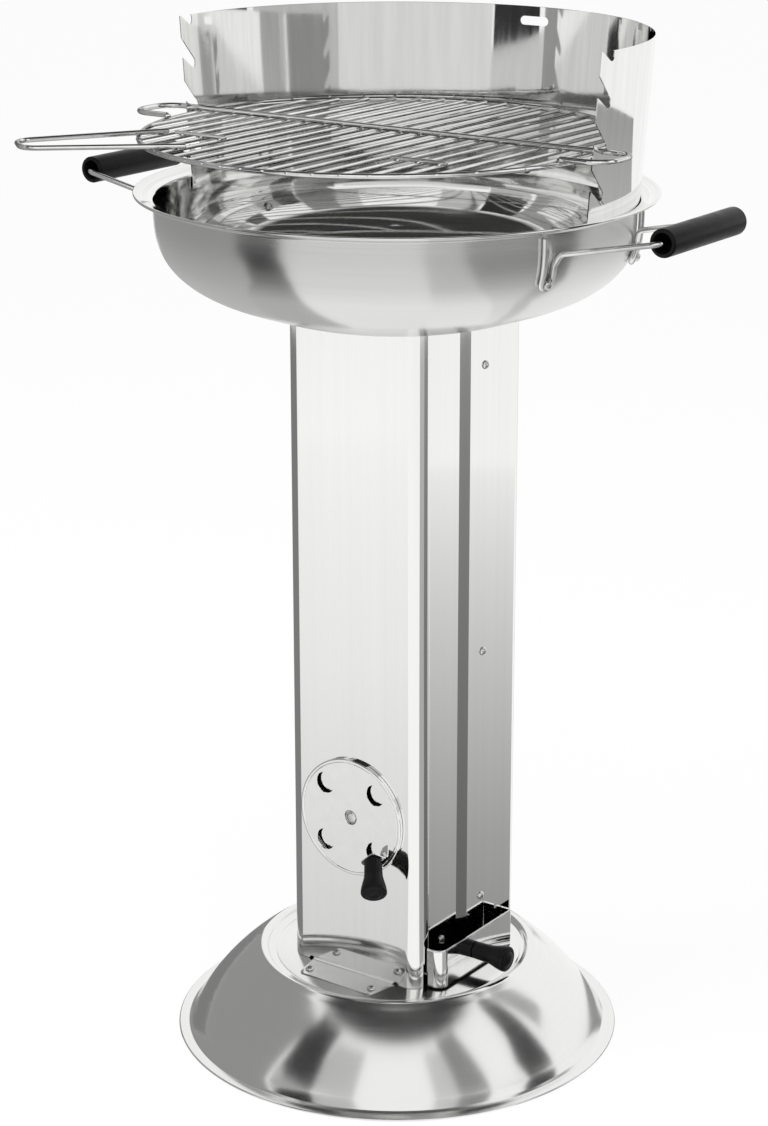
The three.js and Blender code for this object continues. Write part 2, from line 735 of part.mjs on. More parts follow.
function cookingGrid() {
  let grid = ring(gridRingRadius, gridRingWire, vec(0, gridCentreY, ringZ));
  const halfCount = (gridBarCount - 1) / 2;
  const pitch = (gridRingRadius * gridBarShare) / halfCount;
  for (let i = 0; i < gridBarCount; i++) {
    const x = (i - halfCount) * pitch;
    const half = Math.sqrt(gridRingRadius ** 2 - x ** 2);
    grid = grid.add(wire([vec(x, gridCentreY - half, barZ), vec(x, gridCentreY + half, barZ)], gridBarWire));
  }
  const hookY = rodY - hookDepth;
  const hookRootX = Math.sqrt(gridRingRadius ** 2 - (hookY - gridCentreY) ** 2);
  const rod = [vec(-hookRootX, hookY, rodZ), vec(-hookReach, hookY, rodZ), vec(-hookReach, rodY, rodZ),
    vec(hookReach, rodY, rodZ), vec(hookReach, hookY, rodZ), vec(hookRootX, hookY, rodZ)];
  grid = grid.add(wire(bentPath(rod, hookBend), gridRodWire));
  for (const side of [-1, 1]) {
    const y = rodY - stiffenerAhead;
    const z = barZ + 2 * gridBarWire - weld;
    grid = grid.add(wire([vec(side * stiffenerInnerX, y, z), vec(side * stiffenerOuterX, y, z)], gridBarWire));
  }
  const widen = ((gridHandleRootHalf - gridHandleTipHalf) * gridHandleInside) / gridHandleLength;
  const rootHalf = gridHandleRootHalf + widen;
  const loop = [
    gridHandlePoint(-gridHandleInside, -rootHalf),
    gridHandlePoint(gridHandleLength, -gridHandleTipHalf),
    gridHandlePoint(gridHandleLength, gridHandleTipHalf),
    gridHandlePoint(-gridHandleInside, rootHalf),
  ];
  return grid.add(wire(bentPath(loop, gridHandleBend), gridRingWire));
}

// Charcoal grate, resting on the bowl's curved floor

// Height at which a ring of round wire lies on the bowl's inner surface with the seating clearance.
function ringRestHeight(radius, wireRadius) {
  const inner = offsetLine(bowlWall, sheet + seatGap + wireRadius);
  const i = inner.findIndex(([r]) => r < radius);
  const [outR, outZ] = inner[i - 1];
  const [inR, inZ] = inner[i];
  return outZ + ((inZ - outZ) * (outR - radius)) / (outR - inR);
}

const grateZ = ringRestHeight(grateRadius, grateRingWire);

function charcoalGrate() {
  let grate = ring(grateRadius, grateRingWire, vec(0, 0, grateZ));
  const barHeight = grateZ + grateRingWire + grateBarWire - weld;
  const halfCount = (grateBarCount - 1) / 2;
  const pitch = (grateRadius * grateBarShare) / halfCount;
  for (let i = 0; i < grateBarCount; i++) {
    const x = (i - halfCount) * pitch;
    const half = Math.sqrt(grateRadius ** 2 - x ** 2);
    grate = grate.add(wire([vec(x, -half, barHeight), vec(x, half, barHeight)], grateBarWire));
  }
  for (const y of [-grateCrossBarY, grateCrossBarY]) {
    const half = Math.sqrt(grateRadius ** 2 - y ** 2);
    grate = grate.add(wire([vec(-half, y, grateZ), vec(half, y, grateZ)], grateRingWire));
  }
  return grate;
}

// Bowl handles

// One end of the wire: down the wall, round the screw and back up to where it leaves the wall.
function eyeletRun() {
  const offset = handleWire + handleWallGap;
  const across = eyeletRadius / bowlWallAt(eyeletZ).radius;
  const down = [];
  const up = [];
  const topZ = bowlWallTopZ - handleTopDrop;
  const leaveZ = bowlWallTopZ - handleLeaveDrop;
  for (let i = 0; i < handleRunSteps; i++) {
    const share = i / handleRunSteps;
    down.push(onBowl(eyeletAngle + across, topZ + (eyeletZ - topZ) * share, offset));
    up.push(onBowl(eyeletAngle - across, eyeletZ + (leaveZ - eyeletZ) * (1 - share), offset));
  }
  const round = arc(0, 0, 1, 0, -halfTurn, 6).map(([x, y]) =>
    onBowl(eyeletAngle + across * x, eyeletZ + eyeletRadius * y, offset));
  return [...down, ...round, ...up.reverse()];
}

function handleWireFrame(side) {
  const run = eyeletRun();
  const leave = run.pop();
  const bends = bentPath([
    leave,
    vec(handleElbowX, handleElbowY, bowlWallTopZ - handleElbowDrop),
    vec(handleReachX, gripHalfLength + 2 * handleWire, handleGripZ),
    vec(handleReachX, 0, handleGripZ),
  ], handleBend, 3);
  const line = (end) => [...run, ...bends].map((p) => remap(p, handleFrame(side, end)));
  return wire([...line(-1), ...line(1).reverse().slice(1)], handleWire);
}

const handleGripZ = bowlWallTopZ + handleGripRise;

function grip(side) {
  const bore = handleWire + seatGap;
  const edge = sheet;
  const half = [
    [gripRadius, gripHalfLength - edge],
    [gripRadius - edge, gripHalfLength],
    [gripBoreRadius, gripHalfLength],
    [gripBoreRadius, gripHalfLength - gripPocketDepth],
    [bore, gripHalfLength - gripPocketDepth],
  ];
  const section = [...half, ...half.map(([r, z]) => [r, -z]).reverse()];
  return place(turned(section, knobSides), standing(vec(side * handleReachX, 0, handleGripZ), vec(0, 1, 0)));
}

// Vent disc, knob and rivet

const ventPlaneY = columnFrontY - ventStandOff;

// A frame on the column's front face: first along X, then up, then outward along -Y.
const faceBasis = new THREE.Matrix4().makeBasis(vec(1, 0, 0), vec(0, 0, 1), vec(0, -1, 0));
faceBasis.setPosition(0, columnFrontY, ventZ);

const lugDirection = vec(Math.cos(lugTilt), 0, Math.sin(lugTilt));
const lugBasis = new THREE.Matrix4().makeRotationZ(lugAngle);

// A place on the lug's outer face, before the lug is turned to its angle on the disc.
const lugPoint = (along) =>
  vec(lugFootRadius - along * Math.sin(lugTilt), 0, ventStandOff + along * Math.cos(lugTilt));

function ventDisc() {
  const faceZ = ventStandOff;
  const line = [
    [ventRadius, ventRimGap],
    [ventRadius, faceZ - ventRimRound],
    [ventRadius - ventRimRound, faceZ],
    [ventBossRadius + ventStandOff - sheet, faceZ],
    [ventBossRadius, sheet + seatGap],
    [rivetShankRadius + seatGap, sheet + seatGap],
  ];
  let disc = turned([...line, ...offsetLine(line, -sheet).reverse()]);
  for (let i = 0; i < ventHoleCount; i++) {
    const angle = (fullTurn * (i + 0.5)) / ventHoleCount;
    const at = vec(ventHoleCircle * Math.cos(angle), ventHoleCircle * Math.sin(angle), 0);
    disc = disc.subtract(place(cylinder(ventHoleRadius, 0, ventRadius, ventHoleSides), shift(at.x, at.y, 0)));
  }
  const tip = lugPoint(lugLength);
  const foot = lugPoint(-sheet);
  const strip = plate(sheetOutline([[foot.x, foot.z], [tip.x, tip.z]], -sheet),
    -lugWidth / 2, lugWidth / 2);
  const upright = new THREE.Matrix4().makeBasis(vec(1, 0, 0), vec(0, 0, 1), vec(0, -1, 0));
  const hole = screwHole(lugPoint(lugKnobAlong), lugDirection, sheet * 2);
  const lug = place(strip, upright).subtract(hole);
  return disc.add(place(lug, lugBasis));
}

// A tapered knob from its root at height zero, with a slot or bore made by what it fits on.
function knob() {
  const end = knobLength - knobCrown;
  const section = [
    [0, 0],
    [knobRootRadius, 0],
    [knobWaistRadius, knobLength * knobWaistShare],
    [knobEndRadius - knobEdgeRound / 2, end - knobEdgeRound],
    [knobEndRadius, end - knobEdgeRound / 2],
    [knobEndRadius - knobEdgeRound, end + knobEdgeRound / 2],
    [knobEndRadius / 2, knobLength - knobCrown / 4],
    [0, knobLength],
  ];
  return turned(section, knobSides);
}

function boredKnob() {
  return knob().subtract(cylinder(screwHoleRadius, -cutOverrun, tappingLength));
}

function ventKnob() {
  const root = lugPoint(lugKnobAlong).addScaledVector(lugDirection, seatGap);
  return place(place(boredKnob(), standing(root, lugDirection)), lugBasis);
}

function ventKnobScrew() {
  const seat = lugPoint(lugKnobAlong).addScaledVector(lugDirection, -sheet);
  return place(place(screw(tappingLength), standing(seat, lugDirection.clone().negate())), lugBasis);
}

function ventRivet() {
  const seat = sheet * 2 + 2 * seatGap;
  const head = arc(0, 0, 1, 0, quarterTurn, 3).map(([x, y]) => [
    x * rivetHeadRadius,
    seat + y * rivetHeadHeight,
  ]);
  const back = -sheet - seatGap;
  const section = [
    [0, back - rivetHeadHeight],
    [rivetHeadRadius, back - rivetHeadHeight],
    [rivetHeadRadius, back],
    [rivetShankRadius, back],
    [rivetShankRadius, seat],
    ...head,
  ];
  return turned(section, screwSides);
}

// Ash drawer: a low tray inside the column with a taller front that stands proud of it. It is
// lifted out over the base's ridge, so its front clears the deck and its sides fall off inwards.

const drawerOuterX = columnHalfWidth + drawerProud;
const drawerSeatX = flangeX + seatGap;
const drawerFrontBottom = columnBottomZ + drawerFrontLift;

// The front's outer line from one end to the other, seen from above.
function drawerFrontLine() {
  const corner = (y, from, to) => arc(drawerOuterX - drawerCorner, y, drawerCorner, from, to, 5);
  return [
    [drawerSeatX, drawerFrontY],
    ...corner(drawerFrontY + drawerCorner, -quarterTurn, 0),
    ...corner(drawerBackY - drawerCorner, 0, quarterTurn),
    [drawerSeatX, drawerBackY],
  ];
}

function drawerSide(y) {
  const outline = [
    [drawerTrayEndX, columnBottomZ],
    [drawerSeatX + sheet, columnBottomZ],
    [drawerSeatX + sheet, columnBottomZ + drawerTrayHeight],
    [drawerTrayEndX, columnBottomZ + drawerTrayEndHeight],
  ];
  const upright = new THREE.Matrix4().makeBasis(vec(1, 0, 0), vec(0, 0, 1), vec(0, -1, 0));
  return place(plate(outline, 0, sheet), upright.setPosition(0, y, 0));
}

const drawerTrayEndX = drawerEndGap - columnHalfWidth;

function ashDrawer() {
  const line = drawerFrontLine();
  const y0 = drawerFrontY + drawerTrayInset;
  const y1 = drawerBackY - drawerTrayInset;
  const floorTop = columnBottomZ + sheet;
  const parts = [
    plate(line, drawerFrontBottom, drawerFrontBottom + sheet),
    box(drawerTrayEndX, drawerSeatX + sheet, y0, y1, columnBottomZ, floorTop),
    box(drawerTrayEndX, drawerTrayEndX + sheet, y0, y1, columnBottomZ,
      columnBottomZ + drawerTrayEndHeight),
    box(drawerSeatX, drawerSeatX + sheet, y0, y1, columnBottomZ, drawerFrontBottom + sheet),
    drawerSide(y0 + sheet),
    drawerSide(y1),
  ];
  for (const [ya, yb] of [[drawerFrontY, y0 + sheet], [y1 - sheet, drawerBackY]]) {
    parts.push(box(drawerSeatX, drawerSeatX + sheet, ya, yb, drawerFrontBottom,
      columnBottomZ + drawerTrayHeight));
  }
  let drawer = plate(sheetOutline(line, -sheet), drawerFrontBottom,
    drawerFrontBottom + drawerFrontHeight);
  for (const piece of parts) drawer = drawer.add(piece);
  return drawer.subtract(screwHole(drawerKnobRoot(), vec(1, 0, 0), sheet * 4));
}

function drawerKnobRoot() {
  return vec(drawerOuterX, drawerKnobY, drawerFrontBottom + drawerFrontHeight / 2);
}

function drawerKnob() {
  return place(boredKnob(), standing(drawerKnobRoot().add(vec(seatGap, 0, 0)), vec(1, 0, 0)));
}

// The whole grill

add(basePlate(), 'base_plate', brushed);
add(frontShell(), 'column_front_shell', mirror);
add(rearShell(), 'column_rear_shell', mirror);

for (const { name, x, y } of footScrewPlaces) {
  add(place(screw(tappingLength), shift(x, y, columnBottomZ + sheet)), name, wireMetal);
}
for (const side of [-1, 1]) {
  seamScrewHeights.forEach((z, i) => {
    const at = standing(vec(side * flangeX, seamScrewY, z), vec(side, 0, 0));
    add(place(screw(tappingLength), at), `seam_screw_${sideName(side)}_${i + 1}`, wireMetal);
  });
}

add(fireBowl(), 'fire_bowl', brushed);
for (const sx of [-1, 1]) {
  for (const sy of [-1, 1]) {
    const name = `${endName(sy)}_${sideName(sx)}`;
    const length = tappingLength;
    add(place(screw(length), shift(sx * bowlScrewX, sy * bowlScrewY, bowlFootZ + sheet)),
      `bowl_screw_${name}`, wireMetal);
    const under = columnTopZ - sheet - seatGap - nutHeight;
    add(place(nut(), shift(sx * bowlScrewX, sy * bowlScrewY, under)), `bowl_nut_${name}`, wireMetal);
  }
}

add(windscreen(), 'windscreen', mirror);
screenScrewAngles.forEach((angle, i) => {
  const along = vec(Math.cos(angle), Math.sin(angle), 0);
  const radius = screenRadiusAt(screenScrewZ - screwHeadRadius) * (1 - facetShare) - sheet;
  const inner = along.clone().multiplyScalar(radius).setZ(screenScrewZ);
  add(place(screw(tappingLength), standing(inner, along.clone().negate())), `screen_screw_${i + 1}`, wireMetal);
  const outer = along.clone().multiplyScalar(bowlWallRadius + seatGap).setZ(screenScrewZ);
  add(place(nut(), standing(outer, along)), `screen_nut_${i + 1}`, wireMetal);
});

for (const side of [-1, 1]) {
  add(handleWireFrame(side), `handle_frame_${sideName(side)}`, wireMetal);
  add(grip(side), `handle_grip_${sideName(side)}`, blackPlastic);
}
const nutSetback = sheet + 2 * seatGap + bowlWallRadius * facetShare;
for (const { side, end, map } of handleCorners) {
  const along = remap(outwardOnBowl(eyeletAngle, eyeletZ), map);
  const lift = handleWallGap + 2 * handleWire;
  const name = `${sideName(side)}_${endName(end)}`;
  const at = remap(onBowl(eyeletAngle, eyeletZ, lift), map);
  add(place(screw(lift + tappingLength - sheet), standing(at, along)), `handle_screw_${name}`, wireMetal);
  const behind = remap(onBowl(eyeletAngle, eyeletZ, -nutSetback), map);
  add(place(nut(), standing(behind, along.clone().negate())), `handle_nut_${name}`, wireMetal);
}

add(place(ventDisc(), faceBasis), 'vent_disc', mirror);
add(place(ventRivet(), faceBasis), 'vent_rivet', wireMetal);
add(place(ventKnob(), faceBasis), 'vent_knob', blackPlastic);
add(place(ventKnobScrew(), faceBasis), 'vent_knob_screw', wireMetal);

add(ashDrawer(), 'ash_drawer', mirror);
add(drawerKnob(), 'drawer_knob', blackPlastic);
const knobScrewSeat = drawerKnobRoot().add(vec(-sheet, 0, 0));
add(place(screw(tappingLength), standing(knobScrewSeat, vec(-1, 0, 0))), 'drawer_knob_screw', wireMetal);

add(charcoalGrate(), 'charcoal_grate', wireMetal);
add(cookingGrid(), 'cooking_grid', wireMetal);

// The origin is the middle of the footprint's box, on the floor.
const extent = new THREE.Box3().setFromObject(part);
const middle = extent.getCenter(vec(0, 0, 0));
for (const mesh of part.children) mesh.position.set(-middle.x, -middle.y, 0);

export default part;
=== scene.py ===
import math

import bmesh
import bpy
from mathutils import Matrix, Vector


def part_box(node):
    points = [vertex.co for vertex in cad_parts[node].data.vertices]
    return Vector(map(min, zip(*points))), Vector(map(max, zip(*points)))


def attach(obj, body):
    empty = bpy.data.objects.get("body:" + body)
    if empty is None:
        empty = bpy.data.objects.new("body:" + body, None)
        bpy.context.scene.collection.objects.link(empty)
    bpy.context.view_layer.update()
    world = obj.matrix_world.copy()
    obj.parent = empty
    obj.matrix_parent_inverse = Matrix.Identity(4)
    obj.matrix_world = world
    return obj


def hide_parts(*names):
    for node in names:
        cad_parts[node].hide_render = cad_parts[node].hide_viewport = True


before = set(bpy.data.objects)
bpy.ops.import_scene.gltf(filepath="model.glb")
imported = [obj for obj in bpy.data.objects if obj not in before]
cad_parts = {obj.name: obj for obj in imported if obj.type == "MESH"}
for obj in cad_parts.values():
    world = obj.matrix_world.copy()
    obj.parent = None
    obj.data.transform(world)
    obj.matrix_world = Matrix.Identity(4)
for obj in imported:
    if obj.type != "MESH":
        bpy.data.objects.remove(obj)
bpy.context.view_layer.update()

# Sizes shared by several pieces
SHEET = 1.0
SEAT_GAP = 0.3
WELD = 0.5
TINY = 1e-9
MITRE_LIMIT = 0.3
EDGE_BREAK = 0.2  # how far the edges of sheet are rounded off
CUT_OVERRUN = 2.0
TURNED_SIDES = 180
FINE_SIDES = 64
WIRE_SIDES = 14
BAR_SIDES = 12
BEAD_SIDES = 10
BEAD_FLATNESS = 0.7
TIP_SHARE = 0.75  # of a wire's radius, that its domed tip keeps
BEND_STEPS = 8
FINE_BEND_STEPS = 14
SHARP_ANGLE = math.radians(32)

# Column
COLUMN_HALF_WIDTH = 73.0
COLUMN_FRONT_Y = -70.0
COLUMN_BACK_Y = 96.0
COLUMN_CORNER = 14.5
COLUMN_HEIGHT = 604.3
RECESS_DEPTH = 1.8
RECESS_LAG = 1.5
RECESS_SLOPE = 3.0
RECESS_BEND = 1.2
STEP_FRONT_Y = -6.0
STEP_LENGTH = 13.0
STEP_BEND = 3.0
FLANGE_LENGTH = 42.0
FLANGE_OVERLAP = 35.0

# Feet and top flanges of the column
FRONT_TAB = {"half": 45.3, "length": 31.0, "taper": 6.0, "inset": 10.0, "share": 0.68}
REAR_TAB = {"half": 32.1, "length": 17.0, "taper": 5.0, "inset": 12.0, "share": 0.55}
TAB_BEND = 2.2
TAB_CORNER = 3.0
RELIEF_RADIUS = 3.0
TOP_FLANGE_INSET = 8.5
COLLAR_STEP = 8.0

# Base plate
DECK_HEIGHT = 73.0
DECK_MARGIN = 4.8
RIDGE_WIDTH = 8.0
RIDGE_RISE = 5.0
RIDGE_ROUND = 6.0
CONE_RUN = 79.0
BASE_LIP_WIDTH = 11.0
BASE_EDGE_HEIGHT = 2.4
BASE_STEP_HEIGHT = 5.0
BASE_STEP_ROUND = 1.5
BASE_SHEET = 1.2
DECK_ROUND = 4.0
DECK_RING_SHARE = 0.955
DECK_RING_LINE = ((2.5, 0), (1.2, 0.5), (0, 0.7), (-1.2, 0.5), (-2.5, 0))  # outward, down
CONE_BULGE = 5.0
CONE_STEPS = 24

# Screws and nuts
SCREW_RADIUS = 4.0
SCREW_HEIGHT = 2.6
SHANK_RADIUS = 1.9
SCREW_HOLE = 2.2
TAPPING_LENGTH = 8.0
CROSS_WIDTH = 1.0
CROSS_LENGTH = 4.4
CROSS_DEPTH = 1.3
SCREW_SIDES = 32
NUT_RADIUS = 4.0
NUT_HEIGHT = 3.0
NUT_EDGE_SHARE = 0.92
NUT_BREAK_SHARE = 0.1
SEAM_SCREW_SHARES = (0.099, 0.501, 0.944)

# Fire bowl
BOWL_DEPTH = 111.0
BOWL_WALL_RADIUS = 212.5
BOWL_CURVE_RISE = 9.0
BOWL_CURVE_INNER = 20.0
WALL_POWER = 3.1
FLOOR_POWER = 2.2
BOWL_END_SHARE = 0.966
BOWL_STEPS = 44
BOWL_FOOT_RADIUS = 68.0
BOWL_FOOT_ROUND = 5.0
BOWL_AIR_HOLE_SHARE = 0.62
BOWL_SCREW_SHARES = (0.44, 0.71)
BOWL_RIM_WIDTH = 17.5
BOWL_RIM_HEIGHT = 9.0
RIM_INSIDE_SET = 0.45  # keeps the smooth rim within the faceted solid's reach
RIM_TILT = math.radians(22)
RIM_ROLL = 1.4
RIM_ROLL_FROM = math.radians(-140)
RIM_BEND = 3.0
FLOOR_DROP = 4.2  # how far the bowl's floor hangs below the wall's plain curve
FLOOR_DROP_FROM = 148.0
FLOOR_DROP_TO = 92.0

# Windscreen
SCREEN_HEIGHT = 154.0
SCREEN_OVERLAP = 10.0
SCREEN_WALL_GAP = 1.3
SCREEN_FLARE = 11.2
SCREEN_FRONT_Y = -25.5
NOTCH_COUNT = 4
TOP_NOTCH_DROP = 8.6
LOW_NOTCH_RISE = 30.5
NOTCH_DEPTH = 18.0
POCKET_OVERTURN = 0.6  # how far past a quarter turn a notch's round bottom goes, in radians
NOTCH_RADIUS = 3.2
TOOTH_TIP_RISE = 10.0
TOOTH_SLANT_SHARE = 0.72
TOOTH_SLANT_FOOT = 7.0
HANG_SLOT = (30.0, 8.0)
HANG_SLOT_DROP = 13.0
SCREEN_SCREW_RISE = 5.5
SCREEN_SCREW_ANGLES = (50.0, 90.0, 130.0)

# Cooking grid
GRID_NOTCH = 2
GRID_RING_GAP = 4.6
GRID_RING_AHEAD = 9.5
GRID_RING_WIRE = 2.25
GRID_ROD_WIRE = 2.5
GRID_BAR_WIRE = 1.8
GRID_BAR_COUNT = 20
GRID_BAR_SHARE = 0.925
HOOK_OUT = 32.0
HOOK_DEPTH = 52.0
HOOK_BEND = 19.0
STIFFENER_X = (86.0, 140.0)
STIFFENER_AHEAD = 119.0
END_BEAD_SHARE = 1.15  # of the wire's radius, as the next two
HOOK_BEAD_SHARE = 1.3
STIFFENER_BEAD_SHARE = 1.4
GRID_HANDLE_ANGLE = math.radians(229.5)
GRID_HANDLE_LENGTH = 103.6
GRID_HANDLE_ROOT = 37.0
GRID_HANDLE_TIP = 20.0
GRID_HANDLE_INSIDE = 30.0
GRID_HANDLE_BEND = 16.0

# Charcoal grate
GRATE_SHARE = 0.7  # of the bowl's radius
GRATE_RING_WIRE = 2.5
GRATE_BAR_WIRE = 2.0
GRATE_BAR_COUNT = 11
GRATE_BAR_SHARE = 0.81
GRATE_CROSS_SHARE = 0.4

# Bowl handles
HANDLE_WIRE = 2.5
HANDLE_WALL_GAP = 2 * SEAT_GAP
HANDLE_STAND_OFF = 70.0
HANDLE_GRIP_RISE = 3.0
HANDLE_TOP_DROP = 2.0
HANDLE_ELBOW_DROP = 16.0
HANDLE_ELBOW_GAP = 5.0
HANDLE_ELBOW_Y = 63.0
HANDLE_LEAVE_DROP = 25.0
HANDLE_RUN_STEPS = 8
HANDLE_BEND = 7.0
EYELET_DROP = 39.0
EYELET_ANGLE = math.radians(19.5)
EYELET_RADIUS = 5.0
GRIP_HALF_LENGTH = 60.0
GRIP_RADIUS = 12.0
GRIP_BORE = 8.5
GRIP_POCKET = 16.0
GRIP_EDGE = 2.0
GRIP_BREAK = 0.5

# Vent disc and its knob
VENT_RISE = 156.8
VENT_EDGE_GAP = 2.5
VENT_STAND_OFF = 4.5
VENT_RIM_GAP = 0.4
VENT_RIM_ROUND = 1.2
VENT_BEAD_WIDTH = 2.6
VENT_BEAD_DEPTH = 0.5
VENT_BEAD_ROUND = 0.3
VENT_FACE_ROUND = 0.6
VENT_POCKET_ROUND = 0.8
VENT_POCKET_RADIUS = 5.9
VENT_HOLE_COUNT = 4
VENT_HOLE_SHARE = 0.18
VENT_HOLE_CIRCLE_SHARE = 0.707
RIVET_RADIUS = 5.5
RIVET_HEIGHT = 2.0
RIVET_SHANK = 2.4
RIVET_TAIL_SHARE = 0.8
RIVET_SIDES = 40
RIVET_DIMPLE = ((1.6, 0.92), (1.1, 0.5), (0, 0.45))  # radius, share of the head's height
LUG_ANGLE = math.radians(-47)
LUG_WIDTH = 20.0
LUG_INSET = 5.0
LUG_LENGTH = 17.0
LUG_KNOB_ALONG = 9.0
LUG_TILT = math.radians(42)
LUG_CORNER = 4.0
LUG_FOOT_LENGTH = 7.0
LUG_LIFT = 0.1
LUG_BEND = 1.4
LUG_STEPS = 24
KNOB_LENGTH = 38.0
KNOB_ROOT = 8.0
KNOB_ROOT_BREAK = 0.6
KNOB_WAIST = 8.4
KNOB_WAIST_SHARE = 0.35
KNOB_END = 12.0
KNOB_CROWN = 2.5
KNOB_EDGE = 2.0
KNOB_CROWN_LINE = ((0.72, 0.4), (0.66, 0.1), (0.6, 0.6))  # share of the end's radius, rise
KNOB_TOP_SHARE = 0.35
KNOB_STEPS = 16

# Ash drawer
DRAWER_FRONT_INSET = 12.0
DRAWER_BACK_OVERLAP = 10.0
DRAWER_PROUD = 18.0
DRAWER_CORNER = 10.0
DRAWER_FAR_CORNER = 2.6
DRAWER_FRONT_HEIGHT = 37.0
DRAWER_FRONT_LIFT = 2.2
DRAWER_TRAY_HEIGHT = 16.0
DRAWER_TRAY_END_HEIGHT = 6.0
DRAWER_END_GAP = 8.0
DRAWER_TRAY_INSET = 6.0
FRONT_CUTOUT_TOP = 24.0
REAR_CUTOUT_TOP = 36.0
DRAWER_KNOB_Y = -2.0
DRAWER_HEM = 0.85
DRAWER_HEM_INSET = 0.6
DRAWER_HEM_DROP = 0.9
CUTOUT_CLEARANCE = 2.5

# Heights and places that follow from the sizes above
COLUMN_BOTTOM = DECK_HEIGHT + SEAT_GAP
COLUMN_TOP = COLUMN_BOTTOM + COLUMN_HEIGHT
BOWL_FOOT_Z = COLUMN_TOP + SEAT_GAP
BOWL_TOP = BOWL_FOOT_Z + BOWL_DEPTH
BOWL_CURVE_FLOOR = BOWL_FOOT_Z + BOWL_CURVE_RISE
BOWL_AIR_HOLE = BOWL_FOOT_RADIUS * BOWL_AIR_HOLE_SHARE
SCREEN_BOTTOM = BOWL_TOP - SCREEN_OVERLAP
SCREEN_TOP = SCREEN_BOTTOM + SCREEN_HEIGHT
SCREEN_SCREW_Z = SCREEN_BOTTOM + SCREEN_SCREW_RISE
SCREEN_BOTTOM_RADIUS = BOWL_WALL_RADIUS - SHEET - SCREEN_WALL_GAP
SCREEN_TOP_RADIUS = SCREEN_BOTTOM_RADIUS + SCREEN_FLARE
NOTCH_PITCH = (SCREEN_HEIGHT - TOP_NOTCH_DROP - LOW_NOTCH_RISE) / (NOTCH_COUNT - 1)
RECESS_X = COLUMN_HALF_WIDTH - RECESS_DEPTH
RECESS_FRONT_Y = COLUMN_FRONT_Y + COLUMN_CORNER + RECESS_LAG
REAR_SIDE_X = COLUMN_HALF_WIDTH
FLANGE_X = REAR_SIDE_X + SHEET + SEAT_GAP
STEP_BACK_Y = STEP_FRONT_Y + STEP_LENGTH
FLANGE_BACK_Y = STEP_BACK_Y + FLANGE_LENGTH
REAR_SIDE_FRONT_Y = FLANGE_BACK_Y - FLANGE_OVERLAP
CORNER_X = COLUMN_HALF_WIDTH - COLUMN_CORNER
SEAM_SCREW_Y = (STEP_BACK_Y + FLANGE_BACK_Y) / 2 + 2 * SHEET
DECK_RADIUS = DECK_MARGIN + math.hypot(
    COLUMN_BACK_Y + REAR_TAB["length"], REAR_TAB["half"] - REAR_TAB["taper"]
)
RIDGE_RADIUS = DECK_RADIUS + RIDGE_WIDTH
BASE_RADIUS = RIDGE_RADIUS + CONE_RUN
VENT_Z = DECK_HEIGHT + VENT_RISE
VENT_RADIUS = CORNER_X - VENT_EDGE_GAP
VENT_HOLE_RADIUS = VENT_RADIUS * VENT_HOLE_SHARE
VENT_HOLE_CIRCLE = VENT_RADIUS * VENT_HOLE_CIRCLE_SHARE
LUG_FOOT_RADIUS = VENT_RADIUS - LUG_INSET
DRAWER_OUTER_X = COLUMN_HALF_WIDTH + DRAWER_PROUD
DRAWER_SEAT_X = FLANGE_X + SEAT_GAP
DRAWER_FRONT_Y = COLUMN_FRONT_Y + DRAWER_FRONT_INSET
DRAWER_BACK_Y = FLANGE_BACK_Y + DRAWER_BACK_OVERLAP
DRAWER_BOTTOM = COLUMN_BOTTOM + DRAWER_FRONT_LIFT
DRAWER_TRAY_END = DRAWER_END_GAP - COLUMN_HALF_WIDTH
GRATE_RADIUS = BOWL_WALL_RADIUS * GRATE_SHARE
HANDLE_REACH = BOWL_WALL_RADIUS + BOWL_RIM_WIDTH + HANDLE_STAND_OFF
HANDLE_GRIP_Z = BOWL_TOP + HANDLE_GRIP_RISE
EYELET_Z = BOWL_TOP - EYELET_DROP

QUARTER = math.pi / 2
TURN = 2 * math.pi
METRES = 0.001
SIDES = (("left", -1), ("right", 1))
ENDS = (("front", -1), ("rear", 1))

# The row frame's origin is the middle of the footprint, and the grill's axis stands beside it.
base_low, base_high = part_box("base_plate")
AXIS_Y = (base_low.y + base_high.y) / 2
TO_ROW = Matrix.Translation((0, AXIS_Y, 0)) @ Matrix.Scale(METRES, 4)


# Lines in a plane


def arc(cx, cy, radius, start, end, steps):
    angles = [start + (end - start) * i / steps for i in range(steps + 1)]
    return [(cx + radius * math.cos(a), cy + radius * math.sin(a)) for a in angles]


def offset_line(points, distance):
    """The line moved to its right-hand side by a distance, with mitred corners."""
    moved = []
    last = len(points) - 1
    for i, (x, y) in enumerate(points):
        here = Vector((x, y))
        into = here - Vector(points[max(i - 1, 0)])
        out = Vector(points[min(i + 1, last)]) - here
        into = into.normalized() if into.length else out.normalized()
        out = out.normalized() if out.length else into
        along = (into + out).normalized()
        reach = distance / max(along.dot(into), MITRE_LIMIT)
        moved.append((x + along.y * reach, y - along.x * reach))
    return moved


def round_corner(before, corner, after, radius, steps):
    """The arc that takes a corner's place, on the way from the point before to the one after."""
    into = (corner - before).normalized()
    out = (after - corner).normalized()
    half = into.angle(out) / 2
    centre = corner + (out - into).normalized() * radius / math.cos(half)
    spoke = corner - into * radius * math.tan(half) - centre
    axis = into.cross(out).normalized()
    return [centre + Matrix.Rotation(2 * half * k / steps, 3, axis) @ spoke for k in range(steps + 1)]


